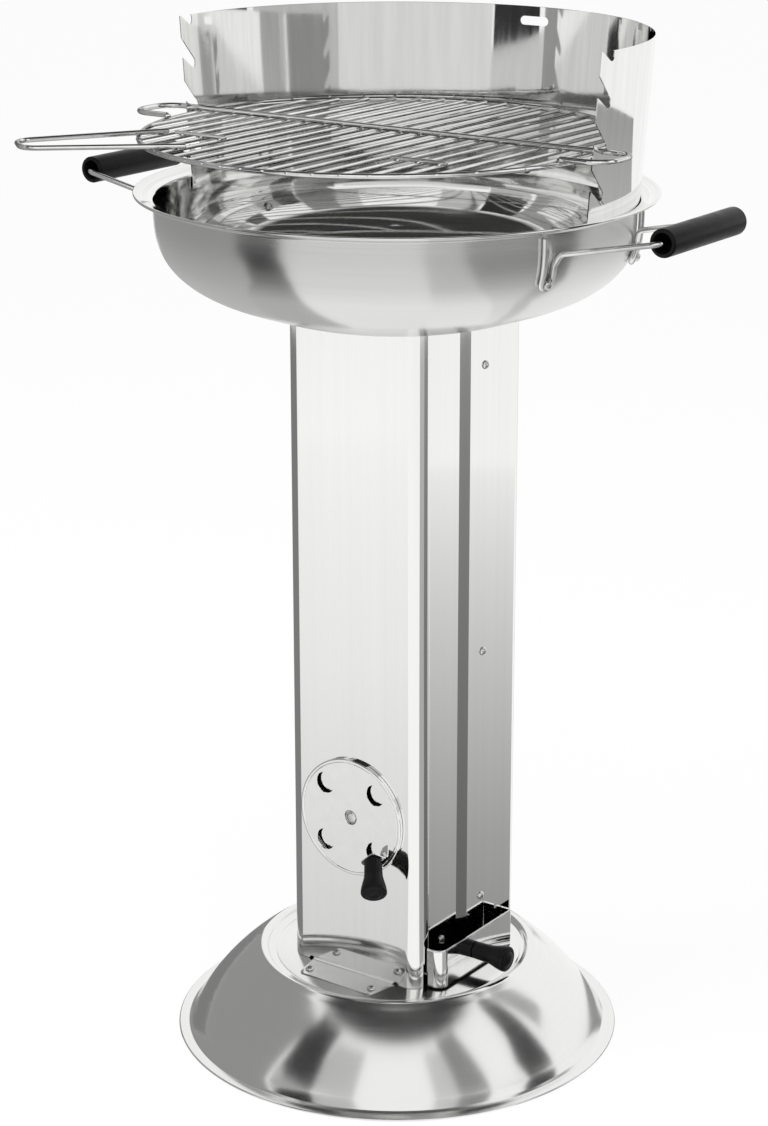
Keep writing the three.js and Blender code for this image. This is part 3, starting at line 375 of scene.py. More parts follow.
def rounded(corners, steps=BEND_STEPS):
    """A line through corners given as (x, y, radius), with each corner rounded."""
    points = [Vector((x, y, 0)) for x, y, _ in corners]
    line = []
    for i, (x, y, radius) in enumerate(corners):
        if i in (0, len(corners) - 1) or not radius:
            line.append((x, y))
        else:
            bend = round_corner(*points[i - 1:i + 2], radius, steps)
            line.extend(tuple(point.xy) for point in bend)
    return line


def mirrored(line):
    return [(-x, y) for x, y in reversed(line)]


def eased(t):
    """A share from 0 to 1 that starts and ends softly."""
    return t * t * (3 - 2 * t)


# Paths in space


def bent_path(corners, bend, steps=BEND_STEPS):
    """Straight runs between corners, rounded to one bend radius."""
    points = [corners[0]]
    for corner, after in zip(corners[1:], corners[2:]):
        points.extend(round_corner(points[-1], corner, after, bend, steps))
    points.append(corners[-1])
    return points


def standing(at, along):
    """Stands a piece made along +Z at a place, along a direction."""
    turn = Vector((0, 0, 1)).rotation_difference(Vector(along))
    return Matrix.Translation(at) @ turn.to_matrix().to_4x4()


# Shapes made of points and faces


def add_object(name, data):
    made = bpy.data.objects.new(name, data)
    bpy.context.scene.collection.objects.link(made)
    return made


class Shape:
    """Points and faces. Faces take the number of the finish that is set when they are added."""

    def __init__(self):
        self.points = []
        self.faces = []
        self.finishes = []
        self.finish = 0

    def grid(self, rows, wrap_rows=False, wrap_columns=False):
        start = len(self.points)
        width = len(rows[0])
        for row in rows:
            self.points.extend(Vector(p) for p in row)
        for i in range(len(rows) if wrap_rows else len(rows) - 1):
            k = (i + 1) % len(rows)
            for j in range(width if wrap_columns else width - 1):
                m = (j + 1) % width
                corners = ((i, j), (k, j), (k, m), (i, m))
                self.faces.append([start + a * width + b for a, b in corners])
                self.finishes.append(self.finish)
        return self

    def cap(self, row):
        start = len(self.points)
        self.points.extend(Vector(p) for p in row)
        self.faces.append(list(range(start, len(self.points))))
        self.finishes.append(self.finish)
        return self

    def turned(self, section, sides=FINE_SIDES, closed=True, at=None):
        at = at or Matrix.Identity(4)
        rows = []
        for r, z in section:
            ring = arc(0, 0, r, 0, TURN, sides)[:-1]
            rows.append([at @ Vector((x, y, z)) for x, y in ring])
        return self.grid(rows, wrap_rows=closed, wrap_columns=True)

    def tube(self, path, radius, sides=WIRE_SIDES, closed=False):
        """Round wire along a path, with rings that don't twist."""
        count = len(path)
        rows = []
        side = None
        for i, point in enumerate(path):
            before = path[i - 1] if closed or i else point
            after = path[(i + 1) % count] if closed or i < count - 1 else point
            along = (after - before).normalized()
            if side is None:
                side = along.orthogonal()
            side = (side - along * side.dot(along)).normalized()
            other = along.cross(side)
            rows.append([
                point + (side * math.cos(a) + other * math.sin(a)) * radius
                for a in [TURN * k / sides for k in range(sides)]
            ])
        self.grid(rows, wrap_rows=closed, wrap_columns=True)
        if not closed:
            for row, tip, inner in ((rows[0], path[0], path[1]), (rows[-1], path[-1], path[-2])):
                out = (tip - inner).normalized() * radius * (1 - TIP_SHARE)
                dome = [tip + (p - tip) * TIP_SHARE + out for p in row]
                self.grid([row, dome], wrap_columns=True).cap(dome)
        return self

    def ring(self, radius, wire, centre, sides=TURNED_SIDES):
        loop = arc(centre[0], centre[1], radius, 0, TURN, sides)[:-1]
        return self.tube([Vector((x, y, centre[2])) for x, y in loop], wire, closed=True)

    def ribbon(self, line, thickness, low, high):
        """Bent sheet that stands on edge: the line is its outer side, seen from above.

        The upper edge is level, or has a height of its own at each point.
        """
        tops = high if isinstance(high, list) else [high] * len(line)
        inner = offset_line(line, -thickness)
        fine = EDGE_BREAK
        out_fine = offset_line(line, -fine)
        in_fine = offset_line(line, fine - thickness)
        rows = []
        for o, i, of, jf, top in zip(line, inner, out_fine, in_fine, tops):
            rows.append([
                (*o, low + fine), (*o, top - fine), (*of, top), (*jf, top),
                (*i, top - fine), (*i, low + fine), (*jf, low), (*of, low),
            ])
        return self.grid(rows, wrap_columns=True).cap(rows[0]).cap(rows[-1])

    def plate(self, outline, low, high, at=None):
        """A flat outline in X and Y with thickness along Z."""
        at = at or Matrix.Identity(4)
        bottom = [at @ Vector((x, y, low)) for x, y in outline]
        top = [at @ Vector((x, y, high)) for x, y in outline]
        return self.grid([bottom, top], wrap_columns=True).cap(bottom).cap(top)

    def block(self, x0, x1, y0, y1, z0, z1):
        return self.plate([(x0, y0), (x1, y0), (x1, y1), (x0, y1)], z0, z1)

    def slab(self, top, bottom):
        """A bent plate between two grids of the same size."""
        self.grid(top).grid(bottom).grid([top[0], bottom[0]]).grid([top[-1], bottom[-1]])
        for end in (0, -1):
            self.grid([[row[end] for row in top], [row[end] for row in bottom]])
        return self

    def bead(self, at, radius):
        """A small weld bead."""
        section = [(radius * x, radius * BEAD_FLATNESS * y) for x, y in arc(0, 0, 1, -QUARTER, QUARTER, 6)]
        return self.turned(section, BEAD_SIDES, closed=False, at=Matrix.Translation(at))

    def object(self, name, *materials):
        mesh = bpy.data.meshes.new(name)
        mesh.from_pydata(self.points, [], self.faces)
        mesh.polygons.foreach_set("material_index", self.finishes)
        for material in materials:
            mesh.materials.append(material)
        shaped = bmesh.new()
        shaped.from_mesh(mesh)
        bmesh.ops.remove_doubles(shaped, verts=shaped.verts, dist=METRES)
        bmesh.ops.dissolve_degenerate(shaped, edges=shaped.edges, dist=METRES)
        bmesh.ops.recalc_face_normals(shaped, faces=shaped.faces)
        shaped.to_mesh(mesh)
        shaped.free()
        return add_object(name, mesh)


def settle(piece):
    """Turns a piece's modifiers into its mesh."""
    graph = bpy.context.evaluated_depsgraph_get()
    mesh = bpy.data.meshes.new_from_object(piece.evaluated_get(graph))
    old = piece.data
    piece.modifiers.clear()
    piece.data = mesh
    bpy.data.meshes.remove(old)


def cut(piece, shape):
    cutter = shape.object("cutter")
    modifier = piece.modifiers.new("cut", "BOOLEAN")
    modifier.operation = "DIFFERENCE"
    modifier.solver = "EXACT"
    modifier.object = cutter
    settle(piece)
    bpy.data.objects.remove(cutter)


def shade(piece, flat_faces=False):
    mesh = piece.data
    mesh.shade_smooth()
    mesh.set_sharp_from_angle(angle=SHARP_ANGLE)
    if flat_faces:
        modifier = piece.modifiers.new("normals", "WEIGHTED_NORMAL")
        modifier.keep_sharp = True
        modifier.weight = 100
        settle(piece)


def seat(piece, body, nodes, at=None, flat_faces=False):
    """Puts a piece in the row frame in place of its CAD nodes."""
    piece.data.transform(TO_ROW @ (at or Matrix.Identity(4)))
    shade(piece, flat_faces)
    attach(piece, body)
    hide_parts(*nodes)
    return piece


# Materials

MIDDLE_OF_NOISE = (0.3, 0.7)  # nearly all of a noise's values lie between these
SUM_OF_NOISES = (0.75, 1.3)
EDGE_SHADE_SPAN = (0.42, 0.82)  # how far a face turns away while its tone goes over to the painted edge shade
MARKS = (18, 18, 14)


def feed(tree, node, inputs):
    """Links each input to a socket, or gives it a value."""
    for name, value in inputs.items():
        if isinstance(value, bpy.types.NodeSocket):
            tree.links.new(value, node.inputs[name])
        else:
            node.inputs[name].default_value = value


def add_node(tree, kind, inputs=None, **settings):
    made = tree.nodes.new(kind)
    for name, value in settings.items():
        setattr(made, name, value)
    feed(tree, made, inputs or {})
    return made


def new_material(name):
    material = bpy.data.materials.new(name)
    material.use_nodes = True
    tree = material.node_tree
    return material, tree, tree.nodes["Principled BSDF"]


def calc(tree, operation, first, second):
    return add_node(tree, "ShaderNodeMath", {0: first, 1: second}, operation=operation).outputs[0]


def noise(tree, vector, detail):
    inputs = {"Vector": vector, "Scale": 1.0, "Detail": detail}
    return add_node(tree, "ShaderNodeTexNoise", inputs).outputs["Fac"]


def remap(tree, value, low, high, span=MIDDLE_OF_NOISE):
    return add_node(tree, "ShaderNodeMapRange", {
        "Value": value, "From Min": span[0], "From Max": span[1], "To Min": low, "To Max": high,
    }).outputs["Result"]


def stretched(tree, scale):
    where = add_node(tree, "ShaderNodeTexCoord").outputs["Object"]
    return add_node(tree, "ShaderNodeMapping", {"Vector": where, "Scale": scale}).outputs["Vector"]


def round_grain(tree, fine, slow):
    """Coordinates whose lines run round the grill's axis."""
    where = add_node(tree, "ShaderNodeTexCoord").outputs["Object"]
    moved = add_node(tree, "ShaderNodeVectorMath", {0: where, 1: (0, AXIS_Y, 0)}, operation="SUBTRACT")
    x, y, z = add_node(tree, "ShaderNodeSeparateXYZ", {0: moved.outputs[0]}).outputs
    level = add_node(tree, "ShaderNodeCombineXYZ", {0: x, 1: y}).outputs[0]
    radius = add_node(tree, "ShaderNodeVectorMath", {0: level}, operation="LENGTH").outputs["Value"]
    across = calc(tree, "MULTIPLY", radius, fine)
    up = calc(tree, "MULTIPLY", z, fine)
    along = calc(tree, "MULTIPLY", calc(tree, "ADD", x, y), slow)
    return add_node(tree, "ShaderNodeCombineXYZ", {0: across, 1: up, 2: along}).outputs[0]


def tint(tree, value, dark, light):
    ramp = add_node(tree, "ShaderNodeValToRGB", {0: value})
    for element, position, colour in zip(ramp.color_ramp.elements, MIDDLE_OF_NOISE, (dark, light)):
        element.position = position
        element.color = (*colour, 1)
    return ramp.outputs["Color"]


def bump(tree, height, distance, under=None):
    inputs = {"Height": height, "Distance": distance, "Strength": 1.0}
    if under:
        inputs["Normal"] = under
    return add_node(tree, "ShaderNodeBump", inputs).outputs["Normal"]


def metal(name, dark, light, smooth, dull, grain_depth, waves, wave_depth,
          grain=None, turned_grain=None, anisotropic=0.0, edge=None):
    """Steel with fine grain, slow waves, and handling marks in its gloss, and painted shade that darkens its
    edges if asked.
    """
    material, tree, surface = new_material(name)
    if turned_grain:
        lines = noise(tree, round_grain(tree, *turned_grain), detail=4.0)
    else:
        lines = noise(tree, stretched(tree, grain), detail=4.0)
    marks = noise(tree, stretched(tree, MARKS), detail=5.0)
    colour = tint(tree, lines, dark, light)
    if edge:
        # Painted shade: the colour goes over to the edge's dark tone where the face turns away from the
        # view.
        facing = add_node(tree, "ShaderNodeLayerWeight", {"Blend": 0.5}).outputs["Facing"]
        rim = remap(tree, facing, 0, 1, span=EDGE_SHADE_SPAN)
        edge_shade_mix = add_node(tree, "ShaderNodeMix", {0: rim, 6: colour, 7: (*edge, 1)}, data_type="RGBA")
        colour = edge_shade_mix.outputs[2]
    both = calc(tree, "ADD", lines, marks)
    fine = bump(tree, lines, grain_depth)
    sheet_waves = noise(tree, stretched(tree, waves), detail=1.0)
    feed(tree, surface, {
        "Metallic": 1.0, "Base Color": colour,
        "Roughness": remap(tree, both, smooth, dull, span=SUM_OF_NOISES),
        "Normal": bump(tree, sheet_waves, wave_depth, under=fine),
    })
    if anisotropic:
        tangent = add_node(tree, "ShaderNodeTangent", direction_type="RADIAL", axis="Z").outputs[0]
        feed(tree, surface, {
            "Anisotropic": anisotropic, "Anisotropic Rotation": 0.25, "Tangent": tangent})
    return material


def moulded(name):
    """Black moulded plastic with a fine skin."""
    material, tree, surface = new_material(name)
    skin = noise(tree, stretched(tree, (1600, 1600, 1600)), detail=2.0)
    cloud = noise(tree, stretched(tree, (60, 60, 60)), detail=4.0)
    feed(tree, surface, {
        "Base Color": tint(tree, cloud, (0.003, 0.003, 0.0035), (0.008, 0.0075, 0.008)),
        "Specular IOR Level": 0.14,
        "Roughness": remap(tree, cloud, 0.26, 0.42),
        "Normal": bump(tree, skin, 0.00006),
    })
    return material


SHEET_METAL = metal(
    "polished_sheet", (0.87, 0.87, 0.86), (0.9, 0.9, 0.89), 0.05, 0.09,
    grain=(120, 120, 1.2), grain_depth=0.0000006, waves=(7, 7, 1.4), wave_depth=0.0006,
)
DISC_METAL = metal(
    "mirror_disc", (0.88, 0.88, 0.87), (0.92, 0.92, 0.91), 0.03, 0.07,
    grain=(90, 90, 90), grain_depth=0.000002, waves=(12, 12, 12), wave_depth=0.0005,
)
SCREEN_METAL = metal(
    "mirror_screen", (0.84, 0.84, 0.83), (0.92, 0.92, 0.91), 0.03, 0.07,
    grain=(110, 110, 1.2), grain_depth=0.000004, waves=(9, 9, 3), wave_depth=0.0012,
)
BOWL_INSIDE = metal(
    "bowl_inside", (0.74, 0.74, 0.73), (0.9, 0.9, 0.88), 0.04, 0.1,
    turned_grain=(500, 6), grain_depth=0.000004, waves=(9, 9, 9), wave_depth=0.0012,
)
SATIN_BOWL = metal(
    "satin_bowl", (0.77, 0.77, 0.76), (0.8, 0.8, 0.79), 0.23, 0.27,
    turned_grain=(1500, 4), grain_depth=0.000002, waves=(6, 6, 6), wave_depth=0.0006, anisotropic=0.6,
)
SATIN_BASE = metal(
    "satin_base", (0.83, 0.83, 0.82), (0.86, 0.86, 0.85), 0.14, 0.18,
    turned_grain=(1500, 4), grain_depth=0.000002, waves=(6, 6, 6), wave_depth=0.0006, anisotropic=0.6,
)
WIRE_METAL = metal(
    "chromed_wire", (0.84, 0.84, 0.83), (0.96, 0.96, 0.95), 0.03, 0.09,
    grain=(120, 120, 120), grain_depth=0.00002, waves=(30, 30, 30), wave_depth=0.0003,
    # Painted shade: the wire's colour goes over to this near black where it turns away from the view.
    edge=(0.05, 0.05, 0.05),
)
SCREW_METAL = metal(
    "plated_screw", (0.62, 0.62, 0.6), (0.8, 0.8, 0.78), 0.14, 0.3,
    grain=(700, 700, 700), grain_depth=0.00003, waves=(60, 60, 60), wave_depth=0.0002,
)
PLASTIC = moulded("black_moulding")


# Screws and nuts, made once and set in their places


def dome(radius, height, base):
    return [(x * radius, base + y * height) for x, y in arc(0, 0, 1, 0, QUARTER, BEND_STEPS)]


def mesh_of(made):
    mesh = made.data
    bpy.data.objects.remove(made)
    return mesh


def screw_mesh(length):
    section = [(0, -length), (SHANK_RADIUS, -length), (SHANK_RADIUS, SEAT_GAP)]
    section += dome(SCREW_RADIUS, SCREW_HEIGHT, SEAT_GAP)
    made = Shape().turned(section, SCREW_SIDES).object("screw", SCREW_METAL)
    top = SEAT_GAP + SCREW_HEIGHT
    half = CROSS_LENGTH / 2
    thin = CROSS_WIDTH / 2
    cross = [(thin, thin), (half, thin), (half, -thin), (thin, -thin), (thin, -half), (-thin, -half),
             (-thin, -thin), (-half, -thin), (-half, thin), (-thin, thin), (-thin, half), (thin, half)]
    cut(made, Shape().plate(cross, top - CROSS_DEPTH, top + CUT_OVERRUN))
    return mesh_of(made)


def nut_mesh():
    edge = NUT_RADIUS * NUT_EDGE_SHARE
    fine = NUT_HEIGHT * NUT_BREAK_SHARE
    section = [(SCREW_HOLE, 0), (edge, 0), (NUT_RADIUS, fine), (NUT_RADIUS, NUT_HEIGHT - fine),
               (edge, NUT_HEIGHT), (SCREW_HOLE, NUT_HEIGHT)]
    return mesh_of(Shape().turned(section, 6).object("nut", SCREW_METAL))


def fasten(mesh, node, at, body="grill"):
    seat(add_object(f"{node}_detail", mesh.copy()), body, [node], at)


tapping_screw = screw_mesh(TAPPING_LENGTH)
plain_nut = nut_mesh()


# Base plate


def base_surface():
    cone_foot = BASE_RADIUS - BASE_LIP_WIDTH
    hem = BASE_EDGE_HEIGHT / 2
    edge = arc(BASE_RADIUS - hem, hem, hem, -QUARTER, QUARTER, 8)
    start = Vector((cone_foot - BASE_EDGE_HEIGHT, BASE_STEP_HEIGHT))
    ridge_z = DECK_HEIGHT + RIDGE_RISE
    end = Vector((RIDGE_RADIUS + RIDGE_ROUND / 2, ridge_z - RIDGE_ROUND / 3))
    cone = []
    for i in range(CONE_STEPS + 1):
        t = i / CONE_STEPS
        swell = 4 * CONE_BULGE * t * (1 - t)
        cone.append((start.x + (end.x - start.x) * t + swell,
                     start.y + (end.y - start.y) * t + swell / 2))
    step = rounded([
        (BASE_RADIUS - hem, BASE_EDGE_HEIGHT, 0),
        (cone_foot + BASE_SHEET, BASE_EDGE_HEIGHT, BASE_STEP_ROUND),
        (cone_foot - BASE_SHEET, BASE_STEP_HEIGHT - BASE_SHEET / 2, BASE_STEP_ROUND),
        (*cone[1], 0),
    ])
    crest = arc(RIDGE_RADIUS - RIDGE_ROUND / 3, ridge_z - RIDGE_ROUND, RIDGE_ROUND,
                QUARTER * 0.5, QUARTER * 1.5, 12)
    deck = rounded([(*crest[-1], 0), (DECK_RADIUS, DECK_HEIGHT, DECK_ROUND), (0, DECK_HEIGHT, 0)])
    # A shallow pressed ring stiffens the deck.
    ring_r = DECK_RADIUS * DECK_RING_SHARE
    press = [(ring_r + out, DECK_HEIGHT - down) for out, down in DECK_RING_LINE]
    return edge, step[1:] + cone[2:-1] + crest + deck[1:-1] + press


edge, surface = base_surface()
under = offset_line(surface[4:], -BASE_SHEET) + [(0, DECK_HEIGHT - BASE_SHEET)]
section = edge + surface + [(0, DECK_HEIGHT)] + under[::-1] + [(under[0][0], 0)]
base_piece = Shape().turned(section, TURNED_SIDES).object("base_plate_detail", SATIN_BASE)
seat(base_piece, "grill", ["base_plate"])


# The bowl's wall curve, which the column's upper edge follows

WALL_PROBE = 0.01


def wall_radius(share):
    fall = (1 - share ** WALL_POWER) ** (1 / FLOOR_POWER)
    return BOWL_CURVE_INNER + (BOWL_WALL_RADIUS - BOWL_CURVE_INNER) * fall


def wall_point(share):
    return wall_radius(share), BOWL_TOP - (BOWL_TOP - BOWL_CURVE_FLOOR) * share


def floor_drop(radius):
    t = min(max((FLOOR_DROP_FROM - radius) / (FLOOR_DROP_FROM - FLOOR_DROP_TO), 0), 1)
    return FLOOR_DROP * eased(t)


# Column shells


def front_half():
    return rounded([
        (0, COLUMN_FRONT_Y, 0),
        (COLUMN_HALF_WIDTH, COLUMN_FRONT_Y, COLUMN_CORNER),
        (COLUMN_HALF_WIDTH, RECESS_FRONT_Y, RECESS_BEND),
        (RECESS_X, RECESS_FRONT_Y + RECESS_SLOPE, RECESS_BEND),
        (RECESS_X, STEP_FRONT_Y, STEP_BEND),
        (FLANGE_X, STEP_BACK_Y, STEP_BEND),
        (FLANGE_X, FLANGE_BACK_Y, 0),
    ], steps=10)


def rear_half():
    return rounded([
        (REAR_SIDE_X, REAR_SIDE_FRONT_Y, 0),
        (REAR_SIDE_X, COLUMN_BACK_Y, COLUMN_CORNER),
        (0, COLUMN_BACK_Y, 0),
    ], steps=12)


def foot_tab(shape, face_y, outward, tab):
    """The shell's foot: bent out from the face with a small radius, then tapered."""
    half = tab["half"]
    low = COLUMN_BOTTOM
    edge_y = face_y + outward * tab["length"]
    bend_y = face_y + outward * TAB_BEND
    outline = rounded([
        (0, bend_y, 0), (half, bend_y, 0), (half, face_y + outward * (TAB_BEND + SHEET), 0),
        (half - tab["taper"], edge_y, TAB_CORNER), (0, edge_y, 0),
    ], steps=5)
    shape.plate(outline + mirrored(outline)[1:-1], low, low + SHEET)
    top = []
    bottom = []
    for i in range(BEND_STEPS + 1):
        a = QUARTER * i / BEND_STEPS
        for rows, radius in ((top, TAB_BEND), (bottom, TAB_BEND + SHEET)):
            y = bend_y - outward * radius * math.cos(a)
            z = low + SHEET + TAB_BEND - radius * math.sin(a)
            rows.append([(-half, y, z), (half, y, z)])
    shape.slab(top, bottom)


def top_flange(shape, face_y, inner_y):
    half = CORNER_X - TOP_FLANGE_INSET
    root_y = face_y - math.copysign(SHEET / 2, face_y)
    shape.block(-half, half, min(root_y, inner_y), max(root_y, inner_y), COLUMN_TOP - SHEET, COLUMN_TOP)


def hole(radius, low, high, at, sides=FINE_SIDES):
    section = [(0, low), (radius, low), (radius, high), (0, high)]
    return Shape().turned(section, sides, at=at)


def vent_hole_places(turned):
    """The holes' places round the disc's middle, turned by a share of their pitch."""
    angles = [TURN * (i + turned) / VENT_HOLE_COUNT for i in range(VENT_HOLE_COUNT)]
    return [(VENT_HOLE_CIRCLE * math.cos(a), VENT_HOLE_CIRCLE * math.sin(a)) for a in angles]


def foot_recess(face_y, tab):
    """What is cut from a shell's face where its foot tab bends out of it."""
    return Shape().block(-tab["half"], tab["half"], face_y - CUT_OVERRUN, face_y + CUT_OVERRUN,
                         COLUMN_BOTTOM - CUT_OVERRUN, COLUMN_BOTTOM + SHEET + TAB_BEND)


def drawer_cutout(y0, y1, top):
    return Shape().block(COLUMN_HALF_WIDTH / 2, FLANGE_X + CUT_OVERRUN, y0, y1,
                         COLUMN_BOTTOM - CUT_OVERRUN, DECK_HEIGHT + top)


def bowl_underside(radius):
    """The height of the bowl's outside over the column, from its foot to its wall."""
    end_r, end_z = wall_point(BOWL_END_SHARE)
    foot_z = BOWL_FOOT_Z + BOWL_FOOT_ROUND
    if radius < end_r:
        share = (radius - BOWL_FOOT_RADIUS) / (end_r - BOWL_FOOT_RADIUS)
        return foot_z + (end_z - floor_drop(end_r) - foot_z) * share
    fall = (radius - BOWL_CURVE_INNER) / (BOWL_WALL_RADIUS - BOWL_CURVE_INNER)
    share = (1 - fall ** FLOOR_POWER) ** (1 / WALL_POWER)
    return BOWL_TOP - (BOWL_TOP - BOWL_CURVE_FLOOR) * share - floor_drop(radius)


def collar_shell(line):
    """A shell whose upper edge follows the bowl's underside."""
    fine_line = [line[0]]
    for start, end in zip(line, line[1:]):
        count = math.ceil(math.dist(start, end) / COLLAR_STEP)
        fine_line.extend(tuple(Vector(start).lerp(end, (k + 1) / count)) for k in range(count))
    tops = [bowl_underside(math.hypot(x, y)) - SEAT_GAP for x, y in fine_line]
    return Shape().ribbon(fine_line, SHEET, COLUMN_BOTTOM, tops)


def column_shell(end_name, line, face_y, outward, tab, cutters):
    """Makes a shell with its openings and relief holes, and its foot tab and top flange."""
    shell = collar_shell(line).object(f"column_{end_name}_detail", SHEET_METAL)
    for _, side in SIDES:
        at = standing((side * (tab["half"] + RELIEF_RADIUS), face_y, COLUMN_BOTTOM), (0, 1, 0))
        cutters.append(hole(RELIEF_RADIUS, -COLUMN_CORNER, COLUMN_CORNER, at, SCREW_SIDES))
    for cutter in cutters:
        cut(shell, cutter)
    bent = Shape()
    foot_tab(bent, face_y, outward, tab)
    top_flange(bent, face_y, outward * BOWL_AIR_HOLE)
    for piece in (bent.object(f"column_{end_name}_tabs", SHEET_METAL), shell):
        seat(piece, "grill", [f"column_{end_name}_shell"], flat_faces=True)


column_shell("front", mirrored(front_half())[:-1] + front_half()[1:], COLUMN_FRONT_Y, -1, FRONT_TAB, [
    foot_recess(COLUMN_FRONT_Y, FRONT_TAB),
    drawer_cutout(DRAWER_FRONT_Y - CUTOUT_CLEARANCE, FLANGE_BACK_Y + CUT_OVERRUN, FRONT_CUTOUT_TOP),
    *(hole(VENT_HOLE_RADIUS, -COLUMN_CORNER, COLUMN_CORNER,
           standing((x, COLUMN_FRONT_Y, VENT_Z + z), (0, 1, 0))) for x, z in vent_hole_places(0)),
])
column_shell("rear", rear_half()[:-1] + mirrored(rear_half())[1:], COLUMN_BACK_Y, 1, REAR_TAB, [
    drawer_cutout(REAR_SIDE_FRONT_Y - CUT_OVERRUN, COLUMN_BACK_Y - COLUMN_CORNER, REAR_CUTOUT_TOP),
    foot_recess(COLUMN_BACK_Y, REAR_TAB),
])
for end_name, y, tab in (("front", COLUMN_FRONT_Y - FRONT_TAB["length"] * FRONT_TAB["share"], FRONT_TAB),
                         ("rear", COLUMN_BACK_Y + REAR_TAB["length"] * REAR_TAB["share"], REAR_TAB)):
    for side_name, side in SIDES:
        at = Matrix.Translation((side * (tab["half"] - tab["inset"]), y, COLUMN_BOTTOM + SHEET))
        fasten(tapping_screw, f"foot_screw_{end_name}_{side_name}", at)
for side_name, side in SIDES:
    for i, share in enumerate(SEAM_SCREW_SHARES):
        at = standing((side * FLANGE_X, SEAM_SCREW_Y, COLUMN_BOTTOM + share * COLUMN_HEIGHT), (side, 0, 0))
        fasten(tapping_screw, f"seam_screw_{side_name}_{i + 1}", at)


# Fire bowl


def wall_at(z):
    """The outer wall's radius at a height, and the direction out of it."""
    share = (BOWL_TOP - z) / (BOWL_TOP - BOWL_CURVE_FLOOR)
    r0, z0 = wall_point(max(share - WALL_PROBE, 0))
    r1, z1 = wall_point(share + WALL_PROBE)
    fall = Vector((r1 - r0, z1 - z0)).normalized()
    return wall_radius(max(share, 0)), -fall.y, fall.x


def on_bowl(angle, z, outward):
    radius, out_r, out_z = wall_at(z)
    r = radius + out_r * outward
    return Vector((r * math.cos(angle), r * math.sin(angle), z + out_z * outward))


def bowl_surface():
    """The inner and upper surface, from the rolled edge to the air hole."""
    roll_r = BOWL_WALL_RADIUS + BOWL_RIM_WIDTH - RIM_INSIDE_SET - RIM_ROLL
    roll_z = BOWL_TOP + BOWL_RIM_HEIGHT - RIM_ROLL
    roll = arc(roll_r, roll_z, RIM_ROLL, RIM_ROLL_FROM, QUARTER + RIM_TILT, FINE_BEND_STEPS)
    inside = BOWL_WALL_RADIUS - SHEET
    corner_z = roll[-1][1] - (roll[-1][0] - inside) * math.tan(RIM_TILT)
    lip = rounded([(*roll[-1], 0), (inside, corner_z, RIM_BEND), (inside, BOWL_TOP, 0)])
    rim = roll + lip[1:-1]
    shares = [BOWL_END_SHARE * math.sin(QUARTER * i / BOWL_STEPS) for i in range(BOWL_STEPS + 1)]
    wall = [(r, z - floor_drop(r)) for r, z in (wall_point(share) for share in shares)]
    foot = arc(BOWL_FOOT_RADIUS - BOWL_FOOT_ROUND, BOWL_FOOT_Z + BOWL_FOOT_ROUND, BOWL_FOOT_ROUND,
               0, -QUARTER, BEND_STEPS)
    return rim + offset_line(wall + foot + [(BOWL_AIR_HOLE, BOWL_FOOT_Z)], SHEET)


surface = bowl_surface()
outside = offset_line(surface, -SHEET)[::-1]
bowl = Shape().turned(surface, TURNED_SIDES, closed=False)
bowl.finish = 1
bowl.turned([surface[-1]] + outside + [surface[0]], TURNED_SIDES, closed=False)
bowl_piece = bowl.object("fire_bowl_detail", BOWL_INSIDE, SATIN_BOWL)
seat(bowl_piece, "grill", ["fire_bowl"])
screw_x, screw_y = (BOWL_FOOT_RADIUS * share for share in BOWL_SCREW_SHARES)
for x_name, sx in SIDES:
    for y_name, sy in ENDS:
        place = (sx * screw_x, sy * screw_y)
        fasten(tapping_screw, f"bowl_screw_{y_name}_{x_name}",
               Matrix.Translation((*place, BOWL_FOOT_Z + SHEET)))
        fasten(plain_nut, f"bowl_nut_{y_name}_{x_name}",
               Matrix.Translation((*place, COLUMN_TOP - SHEET - SEAT_GAP - NUT_HEIGHT)))


# Windscreen


def screen_radius(z):
    return SCREEN_BOTTOM_RADIUS + SCREEN_FLARE * (z - SCREEN_BOTTOM) / SCREEN_HEIGHT


def notch_bottom(i):
    return SCREEN_TOP - TOP_NOTCH_DROP - NOTCH_PITCH * i


def tooth_line():
    """The notched edge seen from the side, as (y, z) from the top down."""
    line = []
    pocket_y = SCREEN_FRONT_Y + NOTCH_DEPTH - NOTCH_RADIUS
    for i in range(NOTCH_COUNT):
        bottom = notch_bottom(i)
        line.append((SCREEN_FRONT_Y, bottom + NOTCH_PITCH * TOOTH_SLANT_SHARE))
        line.append((pocket_y + NOTCH_RADIUS, bottom + TOOTH_SLANT_FOOT))
        line.extend(arc(pocket_y, bottom + NOTCH_RADIUS, NOTCH_RADIUS, 0, -QUARTER - POCKET_OVERTURN, 12))
        line.append((SCREEN_FRONT_Y, bottom + TOOTH_TIP_RISE))
    return line


def screen_cutters():
    far = -SCREEN_TOP_RADIUS - CUT_OVERRUN
    reach = SCREEN_TOP_RADIUS + CUT_OVERRUN
    edge = tooth_line()
    front = [(far, edge[0][1])] + edge + [
        (SCREEN_FRONT_Y, SCREEN_BOTTOM - CUT_OVERRUN), (far, SCREEN_BOTTOM - CUT_OVERRUN)]
    along_x = Matrix(((0, 0, 1, 0), (1, 0, 0, 0), (0, 1, 0, 0), (0, 0, 0, 1)))
    teeth = Shape().plate(front, -reach, reach, at=along_x)
    length, height = HANG_SLOT
    half = (length - height) / 2
    slot = (arc(half, 0, height / 2, -QUARTER, QUARTER, 12)
            + arc(-half, 0, height / 2, QUARTER, 3 * QUARTER, 12))
    along_y = Matrix(((-1, 0, 0, 0), (0, 0, 1, 0), (0, 1, 0, SCREEN_TOP - HANG_SLOT_DROP), (0, 0, 0, 1)))
    return teeth, Shape().plate(slot, 0, reach, at=along_y)


SIDE_LIMIT = 0.8  # faces that look less straight out or in than this are edges


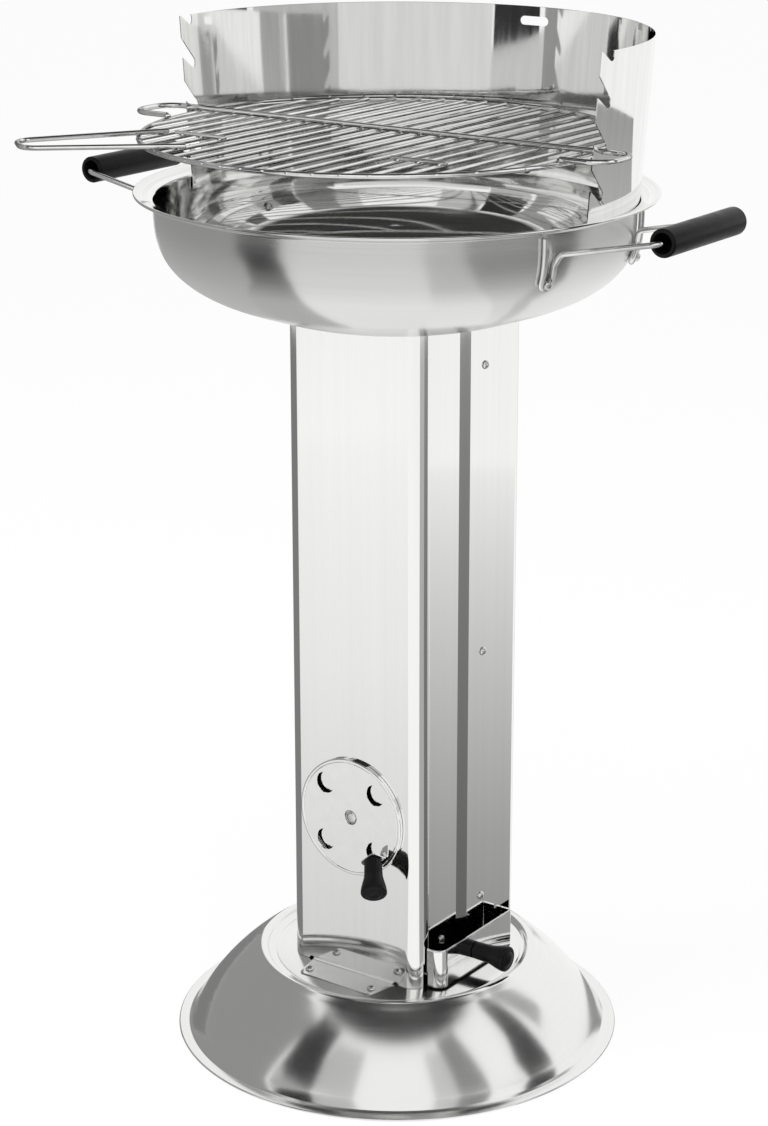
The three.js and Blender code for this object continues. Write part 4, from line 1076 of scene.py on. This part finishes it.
def follow_cone(piece, lean):
    """Gives the sheet's two sides the exact directions of a cone, so that mirrors stay clean."""
    mesh = piece.data
    normals = []
    for polygon in mesh.polygons:
        for index in polygon.loop_indices:
            point = mesh.vertices[mesh.loops[index].vertex_index].co
            outward = Vector((point.x, point.y - AXIS_Y, 0)).normalized()
            outward.z = -lean
            outward.normalize()
            facing = polygon.normal.dot(outward)
            on_side = abs(facing) > SIDE_LIMIT
            normal = outward * math.copysign(1, facing) if on_side else polygon.normal
            normals.append(tuple(normal))
    mesh.normals_split_custom_set(normals)


def screen_section():
    fine = EDGE_BREAK
    top = screen_radius(SCREEN_TOP)
    bottom = screen_radius(SCREEN_BOTTOM)
    return [
        (bottom, SCREEN_BOTTOM + fine), (top, SCREEN_TOP - fine), (top - fine, SCREEN_TOP),
        (top - SHEET + fine, SCREEN_TOP), (top - SHEET, SCREEN_TOP - fine),
        (bottom - SHEET, SCREEN_BOTTOM + fine), (bottom - SHEET + fine, SCREEN_BOTTOM),
        (bottom - fine, SCREEN_BOTTOM),
    ]


screen_piece = Shape().turned(screen_section(), 2 * TURNED_SIDES).object("windscreen_detail", SCREEN_METAL)
for cutter in screen_cutters():
    cut(screen_piece, cutter)
seat(screen_piece, "grill", ["windscreen"])
follow_cone(screen_piece, SCREEN_FLARE / SCREEN_HEIGHT)
for i, degrees in enumerate(SCREEN_SCREW_ANGLES):
    along = Vector((math.cos(math.radians(degrees)), math.sin(math.radians(degrees)), 0))
    inner = along * (screen_radius(SCREEN_SCREW_Z - SCREW_RADIUS) - SHEET - SEAT_GAP)
    inner.z = SCREEN_SCREW_Z
    fasten(tapping_screw, f"screen_screw_{i + 1}", standing(inner, -along))
    outer = along * (BOWL_WALL_RADIUS + SEAT_GAP)
    outer.z = SCREEN_SCREW_Z
    fasten(plain_nut, f"screen_nut_{i + 1}", standing(outer, along))


# Cooking grid

ROD_Y = SCREEN_FRONT_Y + NOTCH_DEPTH - NOTCH_RADIUS
ROD_Z = notch_bottom(GRID_NOTCH) + GRID_ROD_WIRE + SEAT_GAP
GRID_RADIUS = screen_radius(ROD_Z) - SHEET - GRID_RING_GAP
HOOK_REACH = screen_radius(ROD_Z) + HOOK_OUT
GRID_Y = ROD_Y - GRID_RING_AHEAD
RING_Z = ROD_Z - GRID_ROD_WIRE - GRID_RING_WIRE + WELD
BAR_Z = ROD_Z - GRID_ROD_WIRE - GRID_BAR_WIRE + WELD


def grid_handle_point(along, across):
    out = GRID_RADIUS + along
    x = out * math.cos(GRID_HANDLE_ANGLE) - across * math.sin(GRID_HANDLE_ANGLE)
    y = out * math.sin(GRID_HANDLE_ANGLE) + across * math.cos(GRID_HANDLE_ANGLE)
    return Vector((x, GRID_Y + y, RING_Z + 2 * GRID_RING_WIRE - WELD))


def bar_lines(radius, count, share, centre_y, z):
    """The two ends of each bar of a round grid."""
    half_count = (count - 1) / 2
    lines = []
    for i in range(count):
        x = (i - half_count) * radius * share / half_count
        half = math.sqrt(radius ** 2 - x ** 2)
        lines.append([Vector((x, centre_y + side * half, z)) for side in (-1, 1)])
    return lines


grid = Shape().ring(GRID_RADIUS, GRID_RING_WIRE, (0, GRID_Y, RING_Z))
grid_bars = bar_lines(GRID_RADIUS, GRID_BAR_COUNT, GRID_BAR_SHARE, GRID_Y, BAR_Z)
for ends in grid_bars:
    grid.tube(ends, GRID_BAR_WIRE, BAR_SIDES)
    for end in ends:
        grid.bead(end, GRID_RING_WIRE * END_BEAD_SHARE)
hook_y = ROD_Y - HOOK_DEPTH
hook_root = math.sqrt(GRID_RADIUS ** 2 - (hook_y - GRID_Y) ** 2)
rod = [Vector((x, y, ROD_Z)) for x, y in (
    (-hook_root, hook_y), (-HOOK_REACH, hook_y), (-HOOK_REACH, ROD_Y),
    (HOOK_REACH, ROD_Y), (HOOK_REACH, hook_y), (hook_root, hook_y))]
grid.tube(bent_path(rod, HOOK_BEND, FINE_BEND_STEPS), GRID_ROD_WIRE)
stiffener_z = BAR_Z + 2 * GRID_BAR_WIRE - WELD
for side in (-1, 1):
    grid.bead(Vector((side * hook_root, hook_y, ROD_Z - WELD)), GRID_ROD_WIRE * HOOK_BEAD_SHARE)
    y = ROD_Y - STIFFENER_AHEAD
    grid.tube([Vector((side * x, y, stiffener_z)) for x in STIFFENER_X], GRID_BAR_WIRE, BAR_SIDES)
    for bar, _ in grid_bars:
        if STIFFENER_X[0] < side * bar.x < STIFFENER_X[1]:
            grid.bead(Vector((bar.x, y, stiffener_z - GRID_BAR_WIRE)), GRID_BAR_WIRE * STIFFENER_BEAD_SHARE)
root_half = GRID_HANDLE_ROOT + (GRID_HANDLE_ROOT - GRID_HANDLE_TIP) * GRID_HANDLE_INSIDE / GRID_HANDLE_LENGTH
loop = [grid_handle_point(*place) for place in (
    (-GRID_HANDLE_INSIDE, -root_half), (GRID_HANDLE_LENGTH, -GRID_HANDLE_TIP),
    (GRID_HANDLE_LENGTH, GRID_HANDLE_TIP), (-GRID_HANDLE_INSIDE, root_half))]
grid.tube(bent_path(loop, GRID_HANDLE_BEND, FINE_BEND_STEPS), GRID_RING_WIRE)
seat(grid.object("cooking_grid_detail", WIRE_METAL), "grid", ["cooking_grid"])


# Charcoal grate

grate_low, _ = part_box("charcoal_grate")
GRATE_Z = grate_low.z / METRES + GRATE_RING_WIRE * math.cos(math.pi / 6)
grate = Shape().ring(GRATE_RADIUS, GRATE_RING_WIRE, (0, 0, GRATE_Z))
bar_z = GRATE_Z + GRATE_RING_WIRE + GRATE_BAR_WIRE - WELD
for ends in bar_lines(GRATE_RADIUS, GRATE_BAR_COUNT, GRATE_BAR_SHARE, 0, bar_z):
    grate.tube(ends, GRATE_BAR_WIRE, BAR_SIDES)
cross_half = GRATE_RADIUS * math.sqrt(1 - GRATE_CROSS_SHARE ** 2)
for side in (-1, 1):
    y = side * GRATE_RADIUS * GRATE_CROSS_SHARE
    grate.tube([Vector((x, y, GRATE_Z)) for x in (-cross_half, cross_half)], GRATE_RING_WIRE, BAR_SIDES)
seat(grate.object("charcoal_grate_detail", WIRE_METAL), "grate", ["charcoal_grate"])


# Bowl handles


def eyelet_run():
    """One end of the wire: down the wall, round the screw and back up."""
    offset = HANDLE_WIRE + HANDLE_WALL_GAP
    across = EYELET_RADIUS / wall_at(EYELET_Z)[0]
    top = BOWL_TOP - HANDLE_TOP_DROP
    leave = BOWL_TOP - HANDLE_LEAVE_DROP
    down = []
    up = []
    for i in range(HANDLE_RUN_STEPS):
        share = i / HANDLE_RUN_STEPS
        down.append(on_bowl(EYELET_ANGLE + across, top + (EYELET_Z - top) * share, offset))
        up.append(on_bowl(EYELET_ANGLE - across, EYELET_Z + (leave - EYELET_Z) * (1 - share), offset))
    turn = [on_bowl(EYELET_ANGLE + across * x, EYELET_Z + EYELET_RADIUS * y, offset)
            for x, y in arc(0, 0, 1, 0, -math.pi, FINE_BEND_STEPS)]
    return down + turn + up[::-1]


def handle_wire(side):
    run = eyelet_run()
    leave = run.pop()
    elbow_x = math.sqrt(BOWL_WALL_RADIUS ** 2 - HANDLE_ELBOW_Y ** 2) + HANDLE_ELBOW_GAP
    bends = bent_path([
        leave,
        Vector((elbow_x, HANDLE_ELBOW_Y, BOWL_TOP - HANDLE_ELBOW_DROP)),
        Vector((HANDLE_REACH, GRIP_HALF_LENGTH + 2 * HANDLE_WIRE, HANDLE_GRIP_Z)),
        Vector((HANDLE_REACH, 0, HANDLE_GRIP_Z)),
    ], HANDLE_BEND)
    half = run + bends
    line = [Vector((side * p.x, -p.y, p.z)) for p in half]
    return line + [Vector((side * p.x, p.y, p.z)) for p in reversed(half[:-1])]


def grip_section():
    bore = HANDLE_WIRE + SEAT_GAP
    edge = GRIP_EDGE
    outer = arc(GRIP_RADIUS - edge, GRIP_HALF_LENGTH - edge, edge, 0, QUARTER, 6)
    half = outer + [
        (GRIP_BORE + GRIP_BREAK, GRIP_HALF_LENGTH), (GRIP_BORE, GRIP_HALF_LENGTH - GRIP_BREAK),
        (GRIP_BORE, GRIP_HALF_LENGTH - GRIP_POCKET), (bore, GRIP_HALF_LENGTH - GRIP_POCKET)]
    return half + [(r, -z) for r, z in reversed(half)]


screw_lift = HANDLE_WALL_GAP + 2 * HANDLE_WIRE
nut_setback = SHEET + 3 * SEAT_GAP
for side_name, side in SIDES:
    node = f"handle_frame_{side_name}"
    wire = Shape().tube(handle_wire(side), HANDLE_WIRE)
    seat(wire.object(f"{node}_detail", WIRE_METAL), "grill", [node])
    node = f"handle_grip_{side_name}"
    grip = Shape().turned(grip_section()).object(f"{node}_detail", PLASTIC)
    at = standing((side * HANDLE_REACH, 0, HANDLE_GRIP_Z), (0, 1, 0))
    seat(grip, "grill", [node], at)
    for end_name, end in ENDS:
        flip = Vector((side, end, 1))
        root = on_bowl(EYELET_ANGLE, EYELET_Z, 0) * flip
        out = (on_bowl(EYELET_ANGLE, EYELET_Z, 1) * flip - root).normalized()
        fasten(tapping_screw, f"handle_screw_{side_name}_{end_name}", standing(root + out * screw_lift, out))
        fasten(plain_nut, f"handle_nut_{side_name}_{end_name}", standing(root - out * nut_setback, -out))


# Vent disc, knob and rivet, made on the column's front face: across, up and out of it

ON_FACE = Matrix(((1, 0, 0, 0), (0, 0, -1, COLUMN_FRONT_Y), (0, 1, 0, VENT_Z), (0, 0, 0, 1)))
TO_LUG = Matrix.Rotation(LUG_ANGLE, 4, "Z")
LUG_DIRECTION = Vector((math.cos(LUG_TILT), 0, math.sin(LUG_TILT)))


def lug_point(along):
    return Vector((LUG_FOOT_RADIUS - along * math.sin(LUG_TILT), 0,
                   VENT_STAND_OFF + along * math.cos(LUG_TILT)))


def vent_section():
    face = VENT_STAND_OFF
    low = SHEET + SEAT_GAP
    bead_in = VENT_RADIUS - VENT_BEAD_WIDTH
    front = rounded([
        (VENT_RADIUS, VENT_RIM_GAP, 0),
        (VENT_RADIUS, face, VENT_RIM_ROUND),
        (bead_in, face, VENT_FACE_ROUND),
        (bead_in - VENT_BEAD_DEPTH, face - VENT_BEAD_DEPTH, VENT_BEAD_ROUND),
        (bead_in - 2 * VENT_BEAD_DEPTH, face - VENT_BEAD_DEPTH / 2, VENT_BEAD_ROUND),
        (VENT_POCKET_RADIUS + SHEET, face - VENT_BEAD_DEPTH / 2, VENT_POCKET_ROUND),
        (VENT_POCKET_RADIUS, low, VENT_BEAD_ROUND),
        (RIVET_SHANK + SEAT_GAP, low, 0),
    ], steps=6)
    return front + offset_line(front, -SHEET)[::-1]


disc_piece = Shape().turned(vent_section(), TURNED_SIDES).object("vent_disc_detail", DISC_METAL)
for x, y in vent_hole_places(0.5):
    cut(disc_piece, hole(VENT_HOLE_RADIUS, 0, VENT_RADIUS, Matrix.Translation((x, y, 0))))
seat(disc_piece, "vent", ["vent_disc"], ON_FACE, flat_faces=True)


def lug_shape():
    """The lug's foot lies on the disc, and the rest is folded up with rounded corners."""
    foot = lug_point(0)
    tip = lug_point(LUG_LENGTH)
    low = foot.z + LUG_LIFT
    line = rounded([(foot.x - LUG_FOOT_LENGTH, low, 0), (foot.x, low, LUG_BEND), (tip.x, tip.z, 0)])
    lengths = [0]
    for a, b in zip(line, line[1:]):
        lengths.append(lengths[-1] + math.dist(a, b))
    fine = []
    for k in range(LUG_STEPS + 1):
        target = lengths[-1] * k / LUG_STEPS
        i = max(j for j in range(len(lengths) - 1) if lengths[j] <= target + TINY)
        share = (target - lengths[i]) / (lengths[i + 1] - lengths[i])
        fine.append(tuple(Vector(line[i]).lerp(line[i + 1], share)))
    top = []
    bottom = []
    for k, (front_point, back_point) in enumerate(zip(fine, offset_line(fine, -SHEET))):
        left = lengths[-1] * (1 - k / LUG_STEPS)
        half = LUG_WIDTH / 2
        if left < LUG_CORNER:
            half -= LUG_CORNER - math.sqrt(max(LUG_CORNER ** 2 - (LUG_CORNER - left) ** 2, 0))
        for rows, (x, z) in ((top, front_point), (bottom, back_point)):
            rows.append([(x, share * half, z) for share in (-1, -0.5, 0, 0.5, 1)])
    return Shape().slab(top, bottom)


lug_piece = lug_shape().object("vent_lug", SHEET_METAL)
seat(lug_piece, "vent", ["vent_disc"], ON_FACE @ TO_LUG, flat_faces=True)


def rivet_section():
    seat_z = 2 * SHEET + 2 * SEAT_GAP
    back = -SHEET - SEAT_GAP
    tail = [(0, back - RIVET_HEIGHT), (RIVET_RADIUS * RIVET_TAIL_SHARE, back - RIVET_HEIGHT),
            (RIVET_RADIUS, back - RIVET_HEIGHT / 2), (RIVET_RADIUS, back)]
    head = dome(RIVET_RADIUS, RIVET_HEIGHT, seat_z)[:-2]
    dimple = [(radius, seat_z + RIVET_HEIGHT * share) for radius, share in RIVET_DIMPLE]
    return tail + [(RIVET_SHANK, back), (RIVET_SHANK, seat_z)] + head + dimple


rivet_piece = Shape().turned(rivet_section(), RIVET_SIDES).object("vent_rivet_detail", SCREW_METAL)
seat(rivet_piece, "grill", ["vent_rivet"], ON_FACE)


def knob_section():
    end = KNOB_LENGTH - KNOB_CROWN
    waist = KNOB_LENGTH * KNOB_WAIST_SHARE
    side = []
    for i in range(KNOB_STEPS + 1):
        t = i / KNOB_STEPS
        radius = KNOB_WAIST + (KNOB_END - KNOB_WAIST) * eased(t)
        side.append((radius, waist + (end - KNOB_EDGE - waist) * t))
    edge = arc(KNOB_END - KNOB_EDGE, end - KNOB_EDGE, KNOB_EDGE, 0, QUARTER, 6)
    crown = [(KNOB_END * share, end + rise) for share, rise in KNOB_CROWN_LINE]
    top = [(KNOB_END * KNOB_TOP_SHARE, KNOB_LENGTH - KNOB_CROWN / 4), (0, KNOB_LENGTH)]
    root = [(0, 0), (KNOB_ROOT - KNOB_ROOT_BREAK, 0), (KNOB_ROOT, KNOB_ROOT_BREAK)]
    return root + side + edge + crown + top


def set_knob(name, node, body, at):
    made = Shape().turned(knob_section()).object(name, PLASTIC)
    seat(made, body, [node], at)


knob_at = lug_point(LUG_KNOB_ALONG)
set_knob("vent_knob_detail", "vent_knob", "vent",
         ON_FACE @ TO_LUG @ standing(knob_at + LUG_DIRECTION * SEAT_GAP, LUG_DIRECTION))
fasten(tapping_screw, "vent_knob_screw",
       ON_FACE @ TO_LUG @ standing(knob_at - LUG_DIRECTION * SHEET, -LUG_DIRECTION), "vent")


# Ash drawer


def drawer_line():
    return rounded([
        (DRAWER_SEAT_X, DRAWER_FRONT_Y, 0),
        (DRAWER_OUTER_X, DRAWER_FRONT_Y, DRAWER_CORNER),
        (DRAWER_OUTER_X, DRAWER_BACK_Y, DRAWER_FAR_CORNER),
        (DRAWER_SEAT_X, DRAWER_BACK_Y, 0),
    ], steps=FINE_BEND_STEPS)


def drawer_side(shape, y):
    low = COLUMN_BOTTOM
    outline = [(DRAWER_TRAY_END, low), (DRAWER_SEAT_X + SHEET, low),
               (DRAWER_SEAT_X + SHEET, low + DRAWER_TRAY_HEIGHT),
               (DRAWER_TRAY_END, low + DRAWER_TRAY_END_HEIGHT)]
    upright = Matrix(((1, 0, 0, 0), (0, 0, -1, y), (0, 1, 0, 0), (0, 0, 0, 1)))
    shape.plate(outline, 0, SHEET, at=upright)


line = drawer_line()
low = COLUMN_BOTTOM
rim = DRAWER_BOTTOM + DRAWER_FRONT_HEIGHT
y0 = DRAWER_FRONT_Y + DRAWER_TRAY_INSET
y1 = FLANGE_BACK_Y - DRAWER_TRAY_INSET / 2
wall = (DRAWER_SEAT_X, DRAWER_SEAT_X + SHEET)
drawer = Shape().ribbon(line, SHEET, DRAWER_BOTTOM, rim)
hem = [Vector((x, y, rim - DRAWER_HEM_DROP)) for x, y in offset_line(line, -DRAWER_HEM_INSET)]
drawer.tube(hem, DRAWER_HEM, sides=10)
drawer.plate(line, DRAWER_BOTTOM, DRAWER_BOTTOM + SHEET)
drawer.block(DRAWER_TRAY_END, DRAWER_SEAT_X + SHEET, y0, y1, low, low + SHEET)
drawer.block(DRAWER_TRAY_END, DRAWER_TRAY_END + SHEET, y0, y1, low, low + DRAWER_TRAY_END_HEIGHT)
drawer.block(*wall, y0, y1, low, DRAWER_BOTTOM + SHEET)
drawer_side(drawer, y0 + SHEET)
drawer_side(drawer, y1)
for ya, yb in ((DRAWER_FRONT_Y, y0 + SHEET), (y1 - SHEET, DRAWER_BACK_Y)):
    drawer.block(*wall, ya, yb, DRAWER_BOTTOM, low + DRAWER_TRAY_HEIGHT)
drawer_piece = drawer.object("ash_drawer_detail", SHEET_METAL)
seat(drawer_piece, "drawer", ["ash_drawer"], flat_faces=True)
knob_z = DRAWER_BOTTOM + DRAWER_FRONT_HEIGHT / 2
at = standing((DRAWER_OUTER_X + SEAT_GAP, DRAWER_KNOB_Y, knob_z), (1, 0, 0))
set_knob("drawer_knob_detail", "drawer_knob", "drawer", at)
at = standing((DRAWER_OUTER_X - SHEET, DRAWER_KNOB_Y, knob_z), (-1, 0, 0))
fasten(tapping_screw, "drawer_knob_screw", at, "drawer")


# Floor, studio light and camera


# Sizes and places here are in metres, in the row frame.
FLOOR_HALF = 12.0
FLOOR_WHITE = 0.86  # how white the floor shows, beside the light that falls on it
SKY_STRENGTH = 0.78
WHITE = (1, 1, 1, 1)
BOARD_RADIUS = 3.1
BOARD_STEPS = 24
CARD_Z = 0.69
LAMP_TARGET = Vector((0, 0, 0.5))
CAMERA_PLACE = (1.3734, AXIS_Y - 1.9469, 1.2188)
CAMERA_TILT = math.radians(72.21)
CAMERA_TURN = math.radians(35.2)
CAMERA_LENS = 88.05
CAMERA_SHIFT = -0.01155


# Seven cards lie side by side under the bowl, which alone sees them. Each row of edges is a
# radius and then the angles between the cards, and each card has a grey for every row.
CARD_EDGES = (
    (0.14, -180, -98, -70, -45, -24, -20, -15, 70),
    (0.2, -180, -103, -82, -45, -26, -18, -12, 70),
    (0.26, -180, -102, -87, -45, -30, -8, 2, 70),
    (0.38, -180, -110, -94, -45, -30, 1, 11, 70),
    (0.55, -180, -121, -101, -45, -30, 9, 23, 70),
    (1.0, -180, -124, -103, -45, -28, 13, 27, 70),
)
CARD_GREYS = {
    "card_grey_left": (0.55, 0.52, 0.45, 0.38, 0.33, 0.3),
    "card_dark_left": (0.48, 0.5, 0.22, 0.02, 0.015, 0.015),
    "card_light_front": (0.9, 0.95, 0.8, 0.76, 0.7, 0.66),
    "card_fade_right": (0.95, 0.93, 0.6, 0.55, 0.48, 0.42),
    "card_grey_right": (0.9, 0.8, 0.48, 0.26, 0.25, 0.25),
    "card_dark_right": (0.7, 0.6, 0.24, 0.08, 0.05, 0.06),
    "card_light_right": (0.9, 0.92, 0.8, 0.6, 0.45, 0.35),
}


def mixed(tree, share, first, second):
    return add_node(tree, "ShaderNodeMixShader", {0: share, 1: first.outputs[0], 2: second.outputs[0]})


def show(tree, shader, output="Material Output"):
    tree.links.new(shader.outputs[0], tree.nodes[output].inputs["Surface"])


def seen_rays(tree):
    """One for rays that show a thing, and zero for rays that gather its light."""
    rays = add_node(tree, "ShaderNodeLightPath").outputs
    both = calc(tree, "MAXIMUM", rays["Is Camera Ray"], rays["Is Glossy Ray"])
    return calc(tree, "MAXIMUM", both, rays["Is Transmission Ray"])


def studio_floor():
    half = FLOOR_HALF
    floor = Shape().grid([[(-half, -half, 0), (half, -half, 0)], [(-half, half, 0), (half, half, 0)]])
    material, tree, surface = new_material("pale_floor")
    feed(tree, surface, {"Base Color": (0.97, 0.97, 0.97, 1), "Roughness": 0.9, "Specular IOR Level": 0.0})
    seen = add_node(tree, "ShaderNodeEmission", {"Color": WHITE, "Strength": 1.0})
    show(tree, mixed(tree, calc(tree, "MULTIPLY", seen_rays(tree), FLOOR_WHITE), surface, seen))
    floor.object("studio_floor", material)


def studio_world():
    world = bpy.data.worlds.new("studio")
    bpy.context.scene.world = world
    world.use_nodes = True
    tree = world.node_tree
    lit = tree.nodes["Background"]
    feed(tree, lit, {"Color": WHITE, "Strength": SKY_STRENGTH})
    seen = add_node(tree, "ShaderNodeBackground", {"Color": WHITE, "Strength": 1.0})
    show(tree, mixed(tree, seen_rays(tree), lit, seen), "World Output")


def board(name, rows, one_sided=False):
    """A grey studio board that shows only in the grill's metal.

    It runs through rows given as (radius, z, start, end, grey), with angles in degrees
    round the grill. A one-sided board is clear from below.
    """
    lines = []
    greys = []
    for radius, z, start, end, grey in rows:
        line = arc(0, AXIS_Y, radius, math.radians(start), math.radians(end), BOARD_STEPS)
        lines.append([(x, y, z) for x, y in line])
        greys.extend((grey, grey, grey, 1) for _ in line)
    faces = Shape().grid(lines)
    mesh = bpy.data.meshes.new(name)
    mesh.from_pydata(faces.points, [], faces.faces)
    shades = mesh.color_attributes.new("grey", "FLOAT_COLOR", "POINT")
    for i, grey in enumerate(greys):
        shades.data[i].color = grey
    material, tree, _ = new_material(name)
    grey = add_node(tree, "ShaderNodeAttribute", attribute_name="grey").outputs["Color"]
    shader = add_node(tree, "ShaderNodeEmission", {"Color": grey, "Strength": 1.0})
    if one_sided:
        back = add_node(tree, "ShaderNodeNewGeometry").outputs["Backfacing"]
        shader = mixed(tree, back, shader, add_node(tree, "ShaderNodeBsdfTransparent"))
    show(tree, shader)
    mesh.materials.append(material)
    made = add_object(name, mesh)
    for rays in ("camera", "diffuse", "shadow", "transmission"):
        setattr(made, f"visible_{rays}", False)


def standing_board(name, *rows):
    """A board that stands round the grill, through rows given as (z, start, end, grey)."""
    board(name, [(BOARD_RADIUS, *row) for row in rows])


def floor_board(name, *rows):
    """A board of painted shade on the floor, through rows given as (radius, start, end, grey)."""
    board(name, [(radius, METRES, *row) for radius, *row in rows])


def lamp(name, azimuth, elevation, distance, size, power):
    a = math.radians(azimuth)
    e = math.radians(elevation)
    light = bpy.data.lights.new(name, "AREA")
    light.shape = "SQUARE"
    light.size = size
    light.energy = power
    made = add_object(name, light)
    out = Vector((math.cos(e) * math.cos(a), math.cos(e) * math.sin(a), math.sin(e)))
    made.location = LAMP_TARGET + out * distance
    made.rotation_euler = out.to_track_quat("Z", "Y").to_euler()
    made.visible_glossy = False


def camera():
    data = bpy.data.cameras.new("camera")
    data.lens = CAMERA_LENS
    data.sensor_width = 36.0
    data.sensor_fit = "AUTO"
    data.shift_x = CAMERA_SHIFT
    made = add_object("camera", data)
    made.location = CAMERA_PLACE
    made.rotation_euler = (CAMERA_TILT, 0, CAMERA_TURN)
    bpy.context.scene.camera = made


studio_floor()
studio_world()
standing_board("board_grey_left", (0.02, -215, -130, 0.31), (4.2, -215, -130, 0.31))
board("board_pale_left", [(3.05, 1.25, -128, -123, 0.55), (3.05, 1.65, -128, -123, 0.55)])
standing_board("board_low_left", (0.3, -130, -102, 0.6), (0.92, -130, -102, 0.6))
standing_board("board_low_dark", (0.92, -127, -103, 0.03), (1.07, -127, -103, 0.03))
standing_board("board_gap_left", (1.09, -127, -103, 0.5), (1.47, -127, -103, 0.4))
standing_board("board_dark_left", (1.5, -127, -103, 0.03), (2.2, -127, -103, 0.03),
               (3.6, -131, -106, 0.03), (5.2, -132, -108, 0.05))
standing_board("board_light_front", (0.3, -102, -26, 0.72), (1.2, -102, -26, 0.72))
standing_board("board_mid_left", (1.5, -103, -79, 0.55), (4.2, -103, -79, 0.52))
standing_board("board_fade_right", (1.5, -34, -20, 0.62), (4.2, -34, -20, 0.62))
standing_board("board_grey_right", (1.4, -20, -2, 0.27), (5.2, -20, -2, 0.25))
standing_board("board_low_right", (0.4, -26, 17, 0.5), (1.06, -26, 17, 0.5))
standing_board("board_dark_right", (0.8, 21, 38, 0.04), (1.7, 19, 40, 0.05), (2.6, 27, 43, 0.08),
               (4.6, 36, 47, 0.12))
standing_board("board_shade_right", (1.6, 47, 59, 0.4), (3.8, 47, 59, 0.4))
for i, (name, greys) in enumerate(CARD_GREYS.items()):
    board(name, [(edges[0], CARD_Z, edges[i + 1], edges[i + 2], grey)
                 for edges, grey in zip(CARD_EDGES, greys)], one_sided=True)
# The boards on the floor are painted shade that shows only in the grill's metal; most of them grow darker
# towards the grill.
floor_board("floor_grey_left", (0.2, -215, -131, 0.22), (3.05, -215, -131, 0.2))
floor_board("floor_shade_front", (0.08, -131, -90, 0.66), (0.45, -131, -90, 0.76), (1.1, -131, -100, 0.9),
            (2.2, -131, -106, 1.0))
floor_board("floor_grey_right", (0.2, -24, 8, 0.42), (3.05, -24, 8, 0.5))
floor_board("floor_dark_right", (0.2, 8, 38, 0.13), (0.9, 8, 38, 0.18), (3.05, 8, 38, 0.28))
floor_board("floor_shade_right", (0.2, 38, 64, 0.3), (0.5, 38, 64, 0.38), (0.9, 38, 64, 0.53),
            (2.0, 38, 64, 0.92))
floor_board("floor_shade_rear", (0.2, 100, 132, 0.5), (3.05, 100, 132, 0.5))
board("ceiling", [(0.02, 2.2, 0, 360, 0.04), (1.2, 2.2, 0, 360, 0.04), (1.42, 2.2, 0, 360, 0.95)])
lamp("key", -125, 48, 3.0, 1.6, 30)
lamp("overhead", -54.8, 66, 3.0, 2.0, 26)
camera()
bpy.context.scene.view_settings.view_transform = "Standard"
